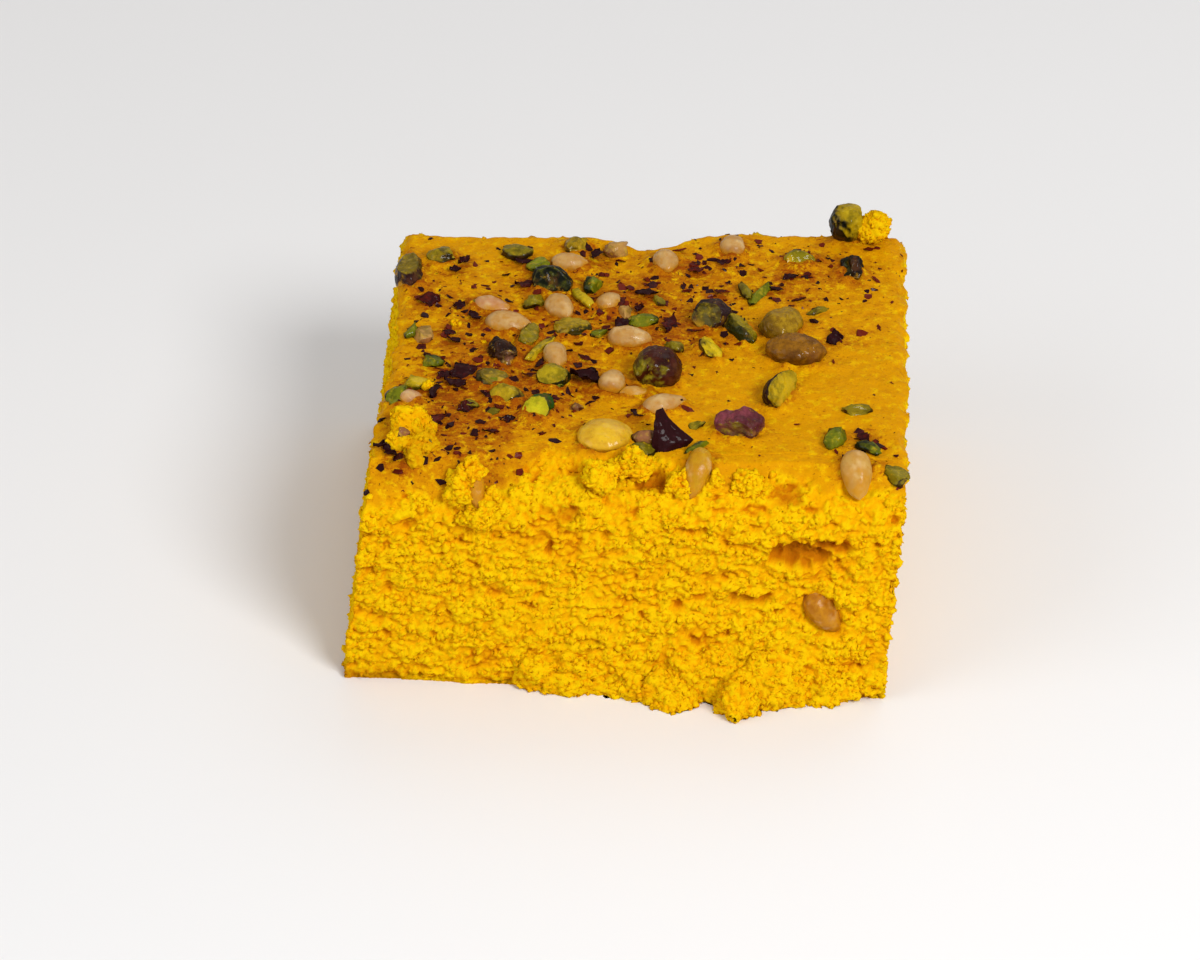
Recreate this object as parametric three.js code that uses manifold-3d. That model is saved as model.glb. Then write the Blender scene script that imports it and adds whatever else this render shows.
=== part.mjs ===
// A square of soft turmeric cake with a torn front, and pine nuts, pistachios and dark
// petals baked into its crust. Millimetres: +X to the right, +Y to the back, +Z up.

import * as THREE from 'three';
import { mergeVertices } from 'three/addons/utils/BufferGeometryUtils.js';
import { ImprovedNoise } from 'three/addons/math/ImprovedNoise.js';
import Module from 'manifold-3d';

const wasm = await Module();
wasm.setup();

const { clamp, degToRad, lerp, smoothstep } = THREE.MathUtils;

// The block, from its underside to its crust. It leans a little to the right.
const height = 46;
const left = { foot: -51.5, top: -45.8, waist: 1.7, waistReach: 0.4 };
const right = { foot: 51, top: 54.3 };

// The torn front rounds back to the crust over its shoulder and bulges towards its foot.
const front = { foot: -46.5, top: -39, shoulder: 11 };
const frontTear = { relief: 2.4, across: 9, up: 30, layer: 2.3 };
const frontBelly = { depth: 2.6, from: -50, to: 8, top: 26 };

// The back has a bite out of its top edge and a fuller right corner.
const back = { foot: 43.5, top: 43.2 };
const backNotch = { depth: 4.5, at: 4, reach: 6, from: 0.6 };
const backCorner = { depth: 2.4, from: 8, to: 22 };

// The block's faces: their grid, the crumbs that stand out of them and the crust's swell.
const cell = 4.2;
const crumbRelief = 0.9;
const crumbSpacing = 6.5;
const cragRelief = 0.75;
const cragSpacing = 2.7;
const cragSeed = 9;
const crustRelief = 0.4;
const crustSpacing = 17;
const edgeDrop = 0.9;
const edgeStart = 0.93;
const trimDepth = 2.5;

// The clearance of a nut in the socket that it has baked into the crust.
const socketGap = 0.35;

// Solids smaller than this, in cubic millimetres, are scraps that a cut leaves behind.
const scrapVolume = 0.05;

// How far the cut and joined block may be smoothed, and the width of the box that cuts.
const simplifyBy = 0.06;
const chopperSize = 40;

// The random relief: its strength, the step from one draw to the next and the shifts that
// part its three directions.
const wobbleGain = 1.8;
const seedStep = 3.7;
const wobbleShifts = [31.4, 47.2];

// How each rounded kind narrows towards +X, how lumpy its skin is and where its draws start.
const skinSpacing = 2.6;
const kinds = {
  pistachio: { taper: 0.12, relief: 0.3, seed: 1 },
  pineNut: { taper: 0.26, relief: 0.1, seed: 40 },
  crumbLump: { taper: 0.15, relief: 0.9, seed: 60 },
  glazedNut: { taper: 0.08, relief: 0.15, seed: 71 },
  edgeLump: { taper: 0, relief: 0.9, seed: 80 },
  chip: { taper: 0, relief: 0.3, seed: 100, detail: 0 },
  hollow: { taper: 0.2, relief: 0.8, seed: 140 },
};

// Nuts. at: centre seen from above, rise: centre over the crust, size: length, width and
// height, turn: degrees from +X to the length, tip: degrees that the narrow end points up.
const pineNuts = [
  { at: [-12, 30.9], rise: 0.7, size: [8, 5, 4.5], turn: 4 },
  { at: [7, 31.8], rise: 0.8, size: [7.5, 5.5, 4.5], turn: -80 },
  { at: [20, 38.8], rise: 0.8, size: [7, 5.5, 4.5], turn: 90 },
  { at: [-26.3, 14.3], rise: 0.4, size: [9, 5, 4], turn: -22 },
  { at: [-22.8, 7.6], rise: 0.9, size: [10, 6, 5], turn: -8 },
  { at: [-13, 13.6], rise: 0.9, size: [8.5, 5.8, 5], turn: -65 },
  { at: [-3.5, 17], rise: 0.5, size: [6.5, 5, 4], turn: 55 },
  { at: [1, 2.8], rise: 1.1, size: [9.5, 5.5, 5], turn: -4 },
  { at: [-13, -4.6], rise: 1.2, size: [8, 5, 4.5], turn: -78 },
  { at: [-1.7, -12.6], rise: 0.9, size: [7, 5.5, 4.8], turn: 80 },
  { at: [3, -15.7], rise: 0.1, size: [7.5, 4, 3], turn: -12 },
  { at: [8.4, -20.6], rise: 1, size: [9.5, 5, 4.5], turn: 24 },
  { at: [15.8, -39.2], rise: -1.6, size: [10.5, 5.2, 4.5], turn: -108, tip: -45 },
  { at: [45, -40], rise: -0.6, size: [10.5, 6.2, 5], turn: -82, tip: -38 },
  { at: [-39.8, -19.5], rise: 0.6, size: [5, 4, 3.5], turn: 10 },
  { at: [-26, -44.6], rise: -3, size: [9.5, 4.5, 4], turn: -70, tip: -58 },
  { at: [39.5, -45.6], rise: -28, size: [9, 6.5, 5], turn: -20, tip: -50 },
];

// Pistachios. cuts: faces where the kernel was chopped, each a direction in the nut's own
// axes and how far out it lies, as a share of the half size.
const pistachios = [
  { at: [-43.6, 27.5], rise: -0.5, size: [13, 6, 7], turn: 95, cuts: [[0.1, 0.2, 1, 0.7]] },
  { at: [-37.3, 32.6], rise: 0.6, size: [6.5, 4.5, 4], turn: 20, cuts: [[1, 0, 0.4, 0.6]] },
  { at: [-15.2, 23.2], rise: 1.5, size: [9, 6.5, 5.5], turn: -25, cuts: [[0.3, -0.8, 0.5, 0.5]] },
  { at: [-18, 29.5], rise: 0.7, size: [5.5, 4.5, 3.5], turn: 60, cuts: [[0, 0.3, 1, 0.6]] },
  { at: [-10.8, 37.5], rise: 0.7, size: [5.5, 4.5, 3.8], turn: 30, cuts: [[0.5, -0.6, 0.6, 0.5]] },
  { at: [-10.3, 6.8], rise: 0.8, size: [8, 6, 4], turn: 10, cuts: [[0, 0.2, 1, 0.55]] },
  { at: [-18.6, 3], rise: 0.9, size: [7.5, 4, 4], turn: 75, cuts: [[0, -0.4, 1, 0.5]] },
  { at: [-23.2, -3.8], rise: 1.2, size: [8.5, 5.5, 5], turn: -65, cuts: [[1, 0, 0.3, 0.6]] },
  { at: [-13, -11.8], rise: 1.2, size: [6.8, 6, 4.6], turn: -10, cuts: [[0, -0.5, 1, 0.55]] },
  { at: [-24.7, -12], rise: 0.5, size: [7.5, 5.5, 3.4], turn: -25, cuts: [[0.2, 0, 1, 0.5]] },
  { at: [-21.6, -18.3], rise: 0.8, size: [7, 5.5, 4], turn: -20, cuts: [[-0.4, -0.6, 0.8, 0.5]] },
  { at: [-15.2, -22.6], rise: 1.1, size: [8.5, 5.8, 4.6], turn: 70, cuts: [[-0.6, 0, 1, 0.55]] },
  { at: [7, -9.8], rise: 2.4, size: [10.5, 9.8, 8], turn: -50, cuts: [[0.5, -0.8, 0, 0.8]] },
  { at: [16.8, 11.2], rise: 1.8, size: [8.5, 6.5, 6], turn: 25, cuts: [[-0.5, -0.6, 0.5, 0.6]] },
  { at: [22.4, 7], rise: 1, size: [10, 5.2, 4.6], turn: -62, cuts: [[0, 0.6, 0.8, 0.6]] },
  { at: [30.4, 8.1], rise: 1.7, size: [10, 7.8, 6.4], turn: 55, cuts: [] },
  { at: [33.2, -1.3], rise: 1.8, size: [12, 8.2, 6.6], turn: -3, cuts: [] },
  { at: [16.8, 0], rise: 0.8, size: [7.5, 4.4, 4], turn: -65, cuts: [[0, 0.5, 0.8, 0.5]] },
  { at: [30.3, -15.2], rise: 1.8, size: [11.5, 5.2, 6], turn: 66, cuts: [[0, -0.9, 0.5, 0.35]] },
  { at: [23, -27.7], rise: 1.6, size: [10.4, 7.6, 5.6], turn: 25, cuts: [[-0.5, -0.8, 0, 0.6]] },
  { at: [33.3, 34.2], rise: 0.6, size: [6.5, 5, 3.8], turn: 10, cuts: [[0, -0.7, 0.7, 0.5]] },
  { at: [43.6, 30.6], rise: 1, size: [7.5, 4.8, 4.6], turn: 85, cuts: [[-0.2, 0.8, 0.5, 0.4]] },
  { at: [43.2, 44.3], rise: 3.5, size: [8.6, 7.6, 8.6], turn: 30, cuts: [[0.9, -0.4, 0.1, 0.6]] },
];

const glazedNut = { at: [-2.3, -31.8], rise: 1, size: [11, 9.4, 5.4], turn: 8 };

// The petal that stands upright, rolled along its left edge with a wing that folds back.
// outline: how far it reaches to the left and to the right, from its foot to its tip.
const tallPetal = {
  at: [10, -34.2],
  rise: 2.9,
  turn: -4,
  lean: 20,
  tall: 9.2,
  thick: 2.4,
  socketThick: 3.8,
  fold: 2.2,
  sides: 10,
  outline: [[-2.3, 0.4], [-2.8, 1.6], [-2.8, 3], [-2.7, 0.9], [-2.6, -0.9], [-2.4, -1.8]],
};

// Lumps of crumb that lie on the crust.
const crumbLumps = [
  { name: 'crumb_lump_front_left', at: [-39, -33.8], rise: 2, size: [12, 8, 7], turn: -70 },
  { name: 'crumb_lump_back_right', at: [48, 43.8], rise: 3, size: [6.4, 6, 7], turn: 0 },
];

// Lumps of crumb that stand out of the torn edge and of the foot. low: centre over the floor.
const edgeLumps = [
  { at: [3.2, -40.6], low: 45.6, size: [8, 5.5, 5.5], turn: 10 },
  { at: [-3.4, -41.6], low: 43.8, size: [6, 5, 5], turn: -15 },
  { at: [24, -41.8], low: 43.4, size: [7, 4.6, 4.6], turn: 8 },
  { at: [11.4, -50], low: 2.6, size: [8.6, 12, 7.4], turn: -8 },
  { at: [23.4, -51.6], low: 2.6, size: [7.6, 13, 7], turn: 8 },
  { at: [17.4, -48.6], low: 4.6, size: [10, 7.5, 9], turn: 0 },
  { at: [31, -48.8], low: 3.6, size: [12, 9, 8.6], turn: 6 },
  { at: [40.4, -47.4], low: 3.2, size: [9, 7, 8], turn: -8 },
  { at: [-8, -47.8], low: 4.4, size: [17, 6, 8], turn: 3 },
];

// Chips of nut too small to stand alone, as the nuts above.
const chips = [
  { at: [-22.3, 35.5], rise: 0.3, size: [5.5, 4.5, 3], turn: 0 },
  { at: [-18, 16], rise: 0.4, size: [5, 4, 2.8], turn: 50 },
  { at: [-7, 23.4], rise: 0.7, size: [5, 3, 3], turn: 75 },
  { at: [-8.3, 17.3], rise: 0.6, size: [7, 2.2, 2], turn: -55 },
  { at: [-16.2, -1.6], rise: 0.6, size: [8.5, 2, 2], turn: 58 },
  { at: [-37, -6.5], rise: 0.4, size: [4.2, 3, 2.4], turn: -10 },
  { at: [-39.2, -13.6], rise: 0.4, size: [4.4, 3.6, 2.6], turn: 20 },
  { at: [3, 10], rise: 0.6, size: [5.4, 2.8, 2.6], turn: 8 },
  { at: [23.2, 22], rise: 0.3, size: [6, 2, 1.8], turn: -70 },
  { at: [25.7, 21.5], rise: 0.4, size: [7, 2.4, 2], turn: 65 },
  { at: [37, 15.6], rise: 0.1, size: [4.4, 3, 1.8], turn: 20 },
  { at: [44.5, -19.9], rise: 0.4, size: [5.2, 3.2, 2.2], turn: 5 },
  { at: [15, -26.4], rise: 0.3, size: [3, 2.2, 1.8], turn: 20 },
  { at: [41, -30.9], rise: 0.8, size: [6, 3.4, 3], turn: 75 },
  { at: [47.2, -33], rise: 0.4, size: [5.2, 3, 2.2], turn: -40 },
  { at: [52.4, -40.2], rise: -0.6, size: [6.5, 3.2, 2.6], turn: -55 },
  { at: [15, -34.2], rise: 0.3, size: [4.8, 2.2, 1.8], turn: 40 },
  { at: [4.6, -35.2], rise: 0.2, size: [4.6, 3.6, 2.4], turn: 30 },
  { at: [-42.2, -18.3], rise: 0.7, size: [5, 3.4, 3], turn: 60 },
  { at: [-0.3, 13.2], rise: 0.5, size: [4, 2.6, 2.6], turn: 80 },
  { at: [-39, 3.2], rise: 0.6, size: [4.2, 3.6, 3], turn: 60 },
  { at: [-41.4, 4.5], rise: 0.3, size: [4.5, 2.4, 2.4], turn: 80 },
  { at: [-2.5, 37.4], rise: 0.3, size: [5, 4, 3], turn: 30 },
  { at: [9.6, 0.6], rise: 0.5, size: [4, 3, 2.6], turn: -40 },
];

// Dark petals pressed into the crust. size: length, width and thickness.
const petals = [
  { at: [-7.2, -11.2], rise: 0.8, size: [6.5, 4.5, 1.2], turn: -30 },
  { at: [-30.5, -9.8], rise: 0.6, size: [6, 4, 1.2], turn: 30 },
  { at: [-35.4, -16.6], rise: 0.4, size: [5, 2, 1.1], turn: 80 },
  { at: [-34, -26.9], rise: 0.3, size: [4.5, 2.4, 1.1], turn: 60 },
  { at: [-24, -30.2], rise: 0.2, size: [3.2, 2, 1], turn: -10 },
  { at: [3.8, -23.3], rise: 0.3, size: [3.6, 2.4, 1.1], turn: -20 },
  { at: [46.3, -29.2], rise: 0.2, size: [3.2, 2.2, 1], turn: -50 },
  { at: [-39, 16.4], rise: 0.5, size: [4.6, 3.6, 1.2], turn: 0 },
  { at: [-33.2, 1.8], rise: 0.2, size: [3.4, 2.2, 1], turn: -35 },
  { at: [13, 30], rise: 0.3, size: [3.2, 2.6, 1], turn: 10 },
  { at: [31.8, 27.8], rise: 0.3, size: [3.4, 2, 1], turn: 25 },
  { at: [-6.8, 34.6], rise: 0.5, size: [3.6, 2.4, 1.2], turn: 70 },
  { at: [-20.6, 23], rise: 0.4, size: [3.8, 2.6, 1.1], turn: 0 },
  { at: [-21, 31.8], rise: 0.3, size: [3.8, 2.2, 1], turn: -10 },
  { at: [3.6, 20.6], rise: 0.4, size: [4.6, 3.4, 1.2], turn: 0 },
  { at: [-1.4, 16.6], rise: 0.9, size: [4.6, 2.6, 1.6], turn: 80 },
  { at: [-42.4, -38], rise: 0, size: [4.4, 2.4, 1], turn: -50 },
  { at: [-29.6, 10.4], rise: 0.3, size: [3.6, 2.2, 1], turn: -55 },
  { at: [8.3, 9], rise: 0.3, size: [6, 3, 1], turn: 80 },
  { at: [40.6, 4.8], rise: 0.2, size: [3.6, 3.2, 1], turn: 20 },
];

const finishes = {
  crumb: { color: 0xe5a806, roughness: 0.85 },
  pineNut: { color: 0xd8b078, roughness: 0.4 },
  sideNut: { color: 0xba7112, roughness: 0.4 },
  glazed: { color: 0xd6ab24, roughness: 0.3 },
  pistachio: { color: 0x7f8a2a, roughness: 0.5 },
  brownSkin: { color: 0x84571f, roughness: 0.5 },
  purpleSkin: { color: 0x6e3c3a, roughness: 0.5 },
  petal: { color: 0x27100f, roughness: 0.6 },
};
const brownSkinned = [15, 16];
const purpleSkinned = [0, 7, 12, 13, 19];
const sideNut = pineNuts.length - 1;

const noise = new ImprovedNoise();

// A smooth random vector that depends on the place, about amount long.
function wobble(place, spacing, amount, seed = 0) {
  const [x, y, z] = place.toArray().map((value) => value / spacing + seed * seedStep);
  return new THREE.Vector3(
    noise.noise(x, y, z),
    noise.noise(y + wobbleShifts[0], z, x),
    noise.noise(z, x + wobbleShifts[1], y),
  ).multiplyScalar(amount * wobbleGain);
}

// Moves every vertex of a geometry to move(vertex), with shared vertices merged first.
function moved(geometry, move) {
  geometry.deleteAttribute('normal');
  geometry.deleteAttribute('uv');
  const merged = mergeVertices(geometry);
  const position = merged.getAttribute('position');
  const vertex = new THREE.Vector3();
  for (let index = 0; index < position.count; index += 1) {
    vertex.fromBufferAttribute(position, index);
    const target = move(vertex.clone());
    position.setXYZ(index, target.x, target.y, target.z);
  }
  return merged;
}

// A merged geometry as a solid, placed by a matrix.
function solidOf(geometry, matrix = new THREE.Matrix4()) {
  const placed = geometry.clone().applyMatrix4(matrix);
  return new wasm.Manifold(new wasm.Mesh({
    numProp: 3,
    vertProperties: placed.getAttribute('position').array,
    triVerts: new Uint32Array(placed.index.array),
  }));
}

// A solid as a geometry in the axes of a placed mesh. Scraps of a cut are dropped.
function geometryOf(solid, matrix = new THREE.Matrix4()) {
  const bodies = solid.decompose().filter((body) => body.volume() > scrapVolume);
  const largest = bodies.reduce((best, body) => (body.volume() > best.volume() ? body : best));
  const mesh = largest.getMesh();
  const geometry = new THREE.BufferGeometry();
  geometry.setAttribute('position', new THREE.BufferAttribute(mesh.vertProperties, 3));
  geometry.setIndex(new THREE.BufferAttribute(mesh.triVerts, 1));
  geometry.applyMatrix4(matrix.clone().invert());
  geometry.computeVertexNormals();
  return geometry;
}

// Where a topping sits: its centre over the crust, its heading and its tip or lean.
function placeOf({ at, rise = 0, low = height + rise, turn = 0, tip = 0, lean = 0 }) {
  const place = new THREE.Object3D();
  place.position.set(at[0], at[1], low);
  place.rotation.set(degToRad(-lean), degToRad(-tip), degToRad(turn), 'ZYX');
  place.updateMatrix();
  return place;
}

// The front of the block: upright at first, then rounded back to the crust where it tore.
function frontEdge(x, z) {
  const rise = clamp((z - height + front.shoulder) / front.shoulder, 0, 1);
  const { relief, across, up, layer } = frontTear;
  const ragged = noise.noise(x / across, layer, z / up) * relief * rise;
  const { depth, from, to, top } = frontBelly;
  const belly = depth * smoothstep(x, from, to) * (1 - smoothstep(z, 0, top));
  return lerp(front.foot, front.top, rise ** 2) - belly + ragged;
}

// The back of the block.
function backEdge(x, z) {
  const up = clamp(z / height, 0, 1);
  const { depth, at, reach, from } = backNotch;
  const notch = depth * Math.exp(-(((x - at) / reach) ** 2)) * smoothstep(up, from, 1);
  const corner = backCorner.depth * smoothstep(x, backCorner.from, backCorner.to) * up;
  return lerp(back.foot, back.top, up) - notch + corner;
}

// The block's outline at a height: across and deep run from -1 to 1.
function blockPoint(across, deep, z) {
  const up = clamp(z / height, 0, 1);
  const waist = left.waist * Math.exp(-((deep / left.waistReach) ** 2)) * up;
  const from = lerp(left.foot, left.top, up) + waist;
  const to = lerp(right.foot, right.top, up);
  const x = lerp(from, to, (across + 1) / 2);
  const y = lerp(frontEdge(x, z), backEdge(x, z), (deep + 1) / 2);
  return new THREE.Vector3(x, y, z);
}

// The block of cake: crumbly sides and a gently swelling crust with dropped edges. The grid
// reaches below the floor, where the underside is cut flat later.
function blockGeometry() {
  const columns = Math.round((right.foot - left.foot) / cell);
  const rows = Math.round((back.foot - front.foot) / cell);
  const layers = Math.round((height + trimDepth) / cell);
  return moved(new THREE.BoxGeometry(2, 2, 1, columns, rows, layers), (vertex) => {
    const isTop = vertex.z === 0.5;
    const rim = Math.max(Math.abs(vertex.x), Math.abs(vertex.y));
    const point = blockPoint(vertex.x, vertex.y, lerp(-trimDepth, height, vertex.z + 0.5));
    if (!isTop || rim === 1) {
      point.add(wobble(point, crumbSpacing, crumbRelief));
      point.add(wobble(point, cragSpacing, cragRelief, cragSeed));
    }
    if (isTop) {
      point.z += wobble(point, crustSpacing, crustRelief).z;
      point.z -= edgeDrop * smoothstep(rim, edgeStart, 1);
    }
    return point;
  });
}

// A rounded nut, lump or hollow of one of the kinds, with draws of its own.
function roundedGeometry(size, kind, index = 0) {
  const { taper, relief, seed, detail = 1 } = kinds[kind];
  return moved(new THREE.IcosahedronGeometry(1, detail), (vertex) => {
    const slim = 1 - taper * vertex.x;
    const point = new THREE.Vector3(
      vertex.x * size[0] / 2,
      vertex.y * size[1] / 2 * slim,
      vertex.z * size[2] / 2 * slim,
    );
    return point.add(wobble(point, skinSpacing, relief, seed + index));
  });
}

// The same shape grown by the socket gap all round.
function grown(geometry) {
  return moved(geometry.clone(), (vertex) => vertex.setLength(vertex.length() + socketGap));
}

// A box that lies beyond a plane through direction * distance, to chop with.
function chopper(direction, distance) {
  const place = new THREE.Object3D();
  place.position.copy(direction).multiplyScalar(distance + chopperSize / 2);
  place.quaternion.setFromUnitVectors(new THREE.Vector3(0, 0, 1), direction);
  place.updateMatrix();
  const cube = new THREE.BoxGeometry(chopperSize, chopperSize, chopperSize);
  return solidOf(moved(cube, (vertex) => vertex), place.matrix);
}

// A kernel chopped by planes, each given as a direction and a share of the half size.
function choppedGeometry(geometry, size, cuts) {
  let solid = solidOf(geometry);
  for (const [x, y, z, share] of cuts) {
    const direction = new THREE.Vector3(x, y, z).normalize();
    const reach = direction.clone().multiply(new THREE.Vector3(...size)).length() / 2;
    solid = solid.subtract(chopper(direction, reach * share));
  }
  return geometryOf(solid);
}

// The upright petal: a rod of rings, each spread to the outline at its level, thinner towards
// the wing and the tip, and swept back to the right.
function tallPetalGeometry({ outline, sides, tall, thick, fold }) {
  const levels = outline.length - 1;
  const rod = new THREE.CylinderGeometry(1, 1, 1, sides, levels).rotateX(Math.PI / 2);
  return moved(rod, (vertex) => {
    const level = Math.round((vertex.z + 0.5) * levels);
    const [from, to] = outline[level];
    const across = (vertex.x + 1) / 2;
    const depth = thick * (1 - 0.6 * across) * (1 - 0.5 * level / levels);
    return new THREE.Vector3(
      lerp(from, to, across),
      vertex.y * depth / 2 + fold * across ** 2,
      vertex.z * tall,
    );
  });
}

// Toppings that stand as pieces of their own, each cut clear of those before it.
const pieces = [];
const sockets = [];

function addPiece(name, finish, place, geometry, whole = geometry) {
  let solid = solidOf(geometry, place.matrix);
  for (const socket of sockets) {
    solid = solid.subtract(socket);
  }
  const material = new THREE.MeshStandardMaterial(finishes[finish]);
  const mesh = new THREE.Mesh(geometryOf(solid, place.matrix), material);
  mesh.name = name;
  mesh.position.copy(place.position);
  mesh.rotation.copy(place.rotation);
  pieces.push(mesh);
  sockets.push(solidOf(grown(whole), place.matrix));
}

function number(index) {
  return String(index + 1).padStart(2, '0');
}

function addPistachios() {
  pistachios.forEach((nut, index) => {
    const whole = roundedGeometry(nut.size, 'pistachio', index);
    const skin = brownSkinned.includes(index) ? 'brownSkin' : 'pistachio';
    const finish = purpleSkinned.includes(index) ? 'purpleSkin' : skin;
    const kernel = choppedGeometry(whole, nut.size, nut.cuts);
    addPiece(`pistachio_${number(index)}`, finish, placeOf(nut), kernel, whole);
  });
}

function addPineNuts() {
  pineNuts.forEach((nut, index) => {
    const kernel = roundedGeometry(nut.size, 'pineNut', index);
    const finish = index === sideNut ? 'sideNut' : 'pineNut';
    addPiece(`pine_nut_${number(index)}`, finish, placeOf(nut), kernel);
  });
}

function addCrumbLumps() {
  crumbLumps.forEach((lump, index) => {
    const shape = roundedGeometry(lump.size, 'crumbLump', index);
    addPiece(lump.name, 'crumb', placeOf(lump), shape);
  });
}

// What is fused to the block: lumps of its own crumb, chips of nut and pressed petals.
function fusedSolids() {
  const lumps = edgeLumps.map((lump, index) => (
    solidOf(roundedGeometry(lump.size, 'edgeLump', index), placeOf(lump).matrix)
  ));
  const nuts = chips.map((chip, index) => (
    solidOf(roundedGeometry(chip.size, 'chip', index), placeOf(chip).matrix)
  ));
  const leaves = petals.map((petal) => {
    const flat = moved(new THREE.OctahedronGeometry(0.5), (vertex) => (
      vertex.multiply(new THREE.Vector3(...petal.size))
    ));
    return solidOf(flat, placeOf(petal).matrix);
  });
  return [...lumps, ...nuts, ...leaves];
}

// The tear in the right of the front, and the two pits left where crumbs came away.
const hollows = [
  { at: [36.5, -46.5], low: 33, size: [15, 11, 6.4], turn: 4, tip: 8 },
  { at: [32.5, -45], low: 41.5, size: [5.5, 6, 5.5], turn: 0 },
  { at: [6.5, -44.8], low: 42.2, size: [6, 5, 5], turn: 0 },
];

function cakeGeometry() {
  let solid = solidOf(blockGeometry());
  for (const extra of fusedSolids()) {
    solid = solid.add(extra);
  }
  hollows.forEach((hollow, index) => {
    const shape = roundedGeometry(hollow.size, 'hollow', index);
    solid = solid.subtract(solidOf(shape, placeOf(hollow).matrix));
  });
  for (const socket of sockets) {
    solid = solid.subtract(socket);
  }
  const floor = chopper(new THREE.Vector3(0, 0, -1), 0);
  const wide = new THREE.Matrix4().makeScale(5, 5, 1);
  return geometryOf(solid.subtract(floor.transform(wide.toArray())).simplify(simplifyBy));
}

addPistachios();
addPineNuts();
addPiece('glazed_nut', 'glazed', placeOf(glazedNut), roundedGeometry(glazedNut.size, 'glazedNut'));
addPiece('tall_petal', 'petal', placeOf(tallPetal), tallPetalGeometry(tallPetal),
  tallPetalGeometry({ ...tallPetal, thick: tallPetal.socketThick }));
addCrumbLumps();

const cake = new THREE.Mesh(cakeGeometry(), new THREE.MeshStandardMaterial(finishes.crumb));
cake.name = 'cake';

// The origin is under the middle of the whole piece, on the surface that it stands on.
const part = new THREE.Group();
const centred = new THREE.Group();
centred.add(cake, ...pieces);
part.add(centred);
part.updateMatrixWorld(true);
const box = new THREE.Box3().setFromObject(centred, true);
centred.position.set(-(box.min.x + box.max.x) / 2, -(box.min.y + box.max.y) / 2, -box.min.z);

export default part;
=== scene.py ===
"""Dresses a cut of turmeric cake: crumb, crust, pistachios, pine nuts and dark petals.

Lengths are in metres. +X is to the right, +Y to the back and +Z up, seen from the torn front.
"""
import math
from random import Random

import bmesh
import bpy
import numpy as np
from bpy.props import FloatProperty, FloatVectorProperty, IntProperty, PointerProperty
from mathutils import Matrix, Vector, noise
from mathutils.bvhtree import BVHTree


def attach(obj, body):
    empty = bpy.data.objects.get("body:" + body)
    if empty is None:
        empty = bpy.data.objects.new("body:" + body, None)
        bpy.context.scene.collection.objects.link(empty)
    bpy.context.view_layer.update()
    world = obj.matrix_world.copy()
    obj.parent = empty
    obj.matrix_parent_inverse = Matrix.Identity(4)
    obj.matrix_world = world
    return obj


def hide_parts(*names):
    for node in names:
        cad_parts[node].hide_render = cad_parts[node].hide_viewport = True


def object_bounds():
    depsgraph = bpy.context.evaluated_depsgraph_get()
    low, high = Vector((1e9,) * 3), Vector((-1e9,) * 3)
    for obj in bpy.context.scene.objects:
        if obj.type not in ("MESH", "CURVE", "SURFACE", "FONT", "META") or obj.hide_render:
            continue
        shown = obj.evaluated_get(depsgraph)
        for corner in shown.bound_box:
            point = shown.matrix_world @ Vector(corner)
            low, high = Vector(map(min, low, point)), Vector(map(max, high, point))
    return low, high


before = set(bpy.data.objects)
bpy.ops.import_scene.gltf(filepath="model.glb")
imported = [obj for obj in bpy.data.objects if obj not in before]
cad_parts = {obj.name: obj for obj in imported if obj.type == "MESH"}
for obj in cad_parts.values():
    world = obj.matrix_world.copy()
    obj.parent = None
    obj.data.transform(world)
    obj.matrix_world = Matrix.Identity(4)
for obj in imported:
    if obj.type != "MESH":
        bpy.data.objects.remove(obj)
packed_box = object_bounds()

bl_info = {
    "name": "Turmeric cake",
    "version": (1, 0, 0),
    "blender": (4, 5, 0),
    "location": "View3D > Sidebar > Cake",
    "description": "Crumb, crust and nuts of a cut of turmeric cake",
    "category": "Object",
}

BODY = "root"

# Where the block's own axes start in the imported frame.
BLOCK_AT = Vector((-0.00149, 0.00518, 0.0))

# The block's form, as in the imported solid.
LEFT_FOOT, LEFT_TOP, LEFT_WAIST = -0.0515, -0.0458, 0.0017
RIGHT_FOOT, RIGHT_TOP = 0.0510, 0.0543
FRONT_FOOT, FRONT_TOP, FRONT_SHOULDER = -0.0465, -0.0390, 0.0110
BACK_FOOT, BACK_TOP, BACK_NOTCH, BACK_CORNER = 0.0435, 0.0432, 0.0045, 0.0024

# Crumb lumps within lumps: spacing, how far they stand out, reach, outline and painted shade of the creases.
CRUMB_LUMPS = (
    (0.0054, 0.00060, 0.72, "DISTANCE", 0.0),
    (0.0028, 0.00050, 0.72, "DISTANCE", 0.05),
    (0.00135, 0.00058, 1.02, "MANHATTAN", 0.20),
    (0.00075, 0.00030, 1.02, "MANHATTAN", 0.16),
)

# Where the fine front slab ends and the rest of the block starts, from -1 to 1 front to back.
SLAB_BACK, BLOCK_FRONT, SEAM = -0.88, -0.93, -0.905

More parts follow.
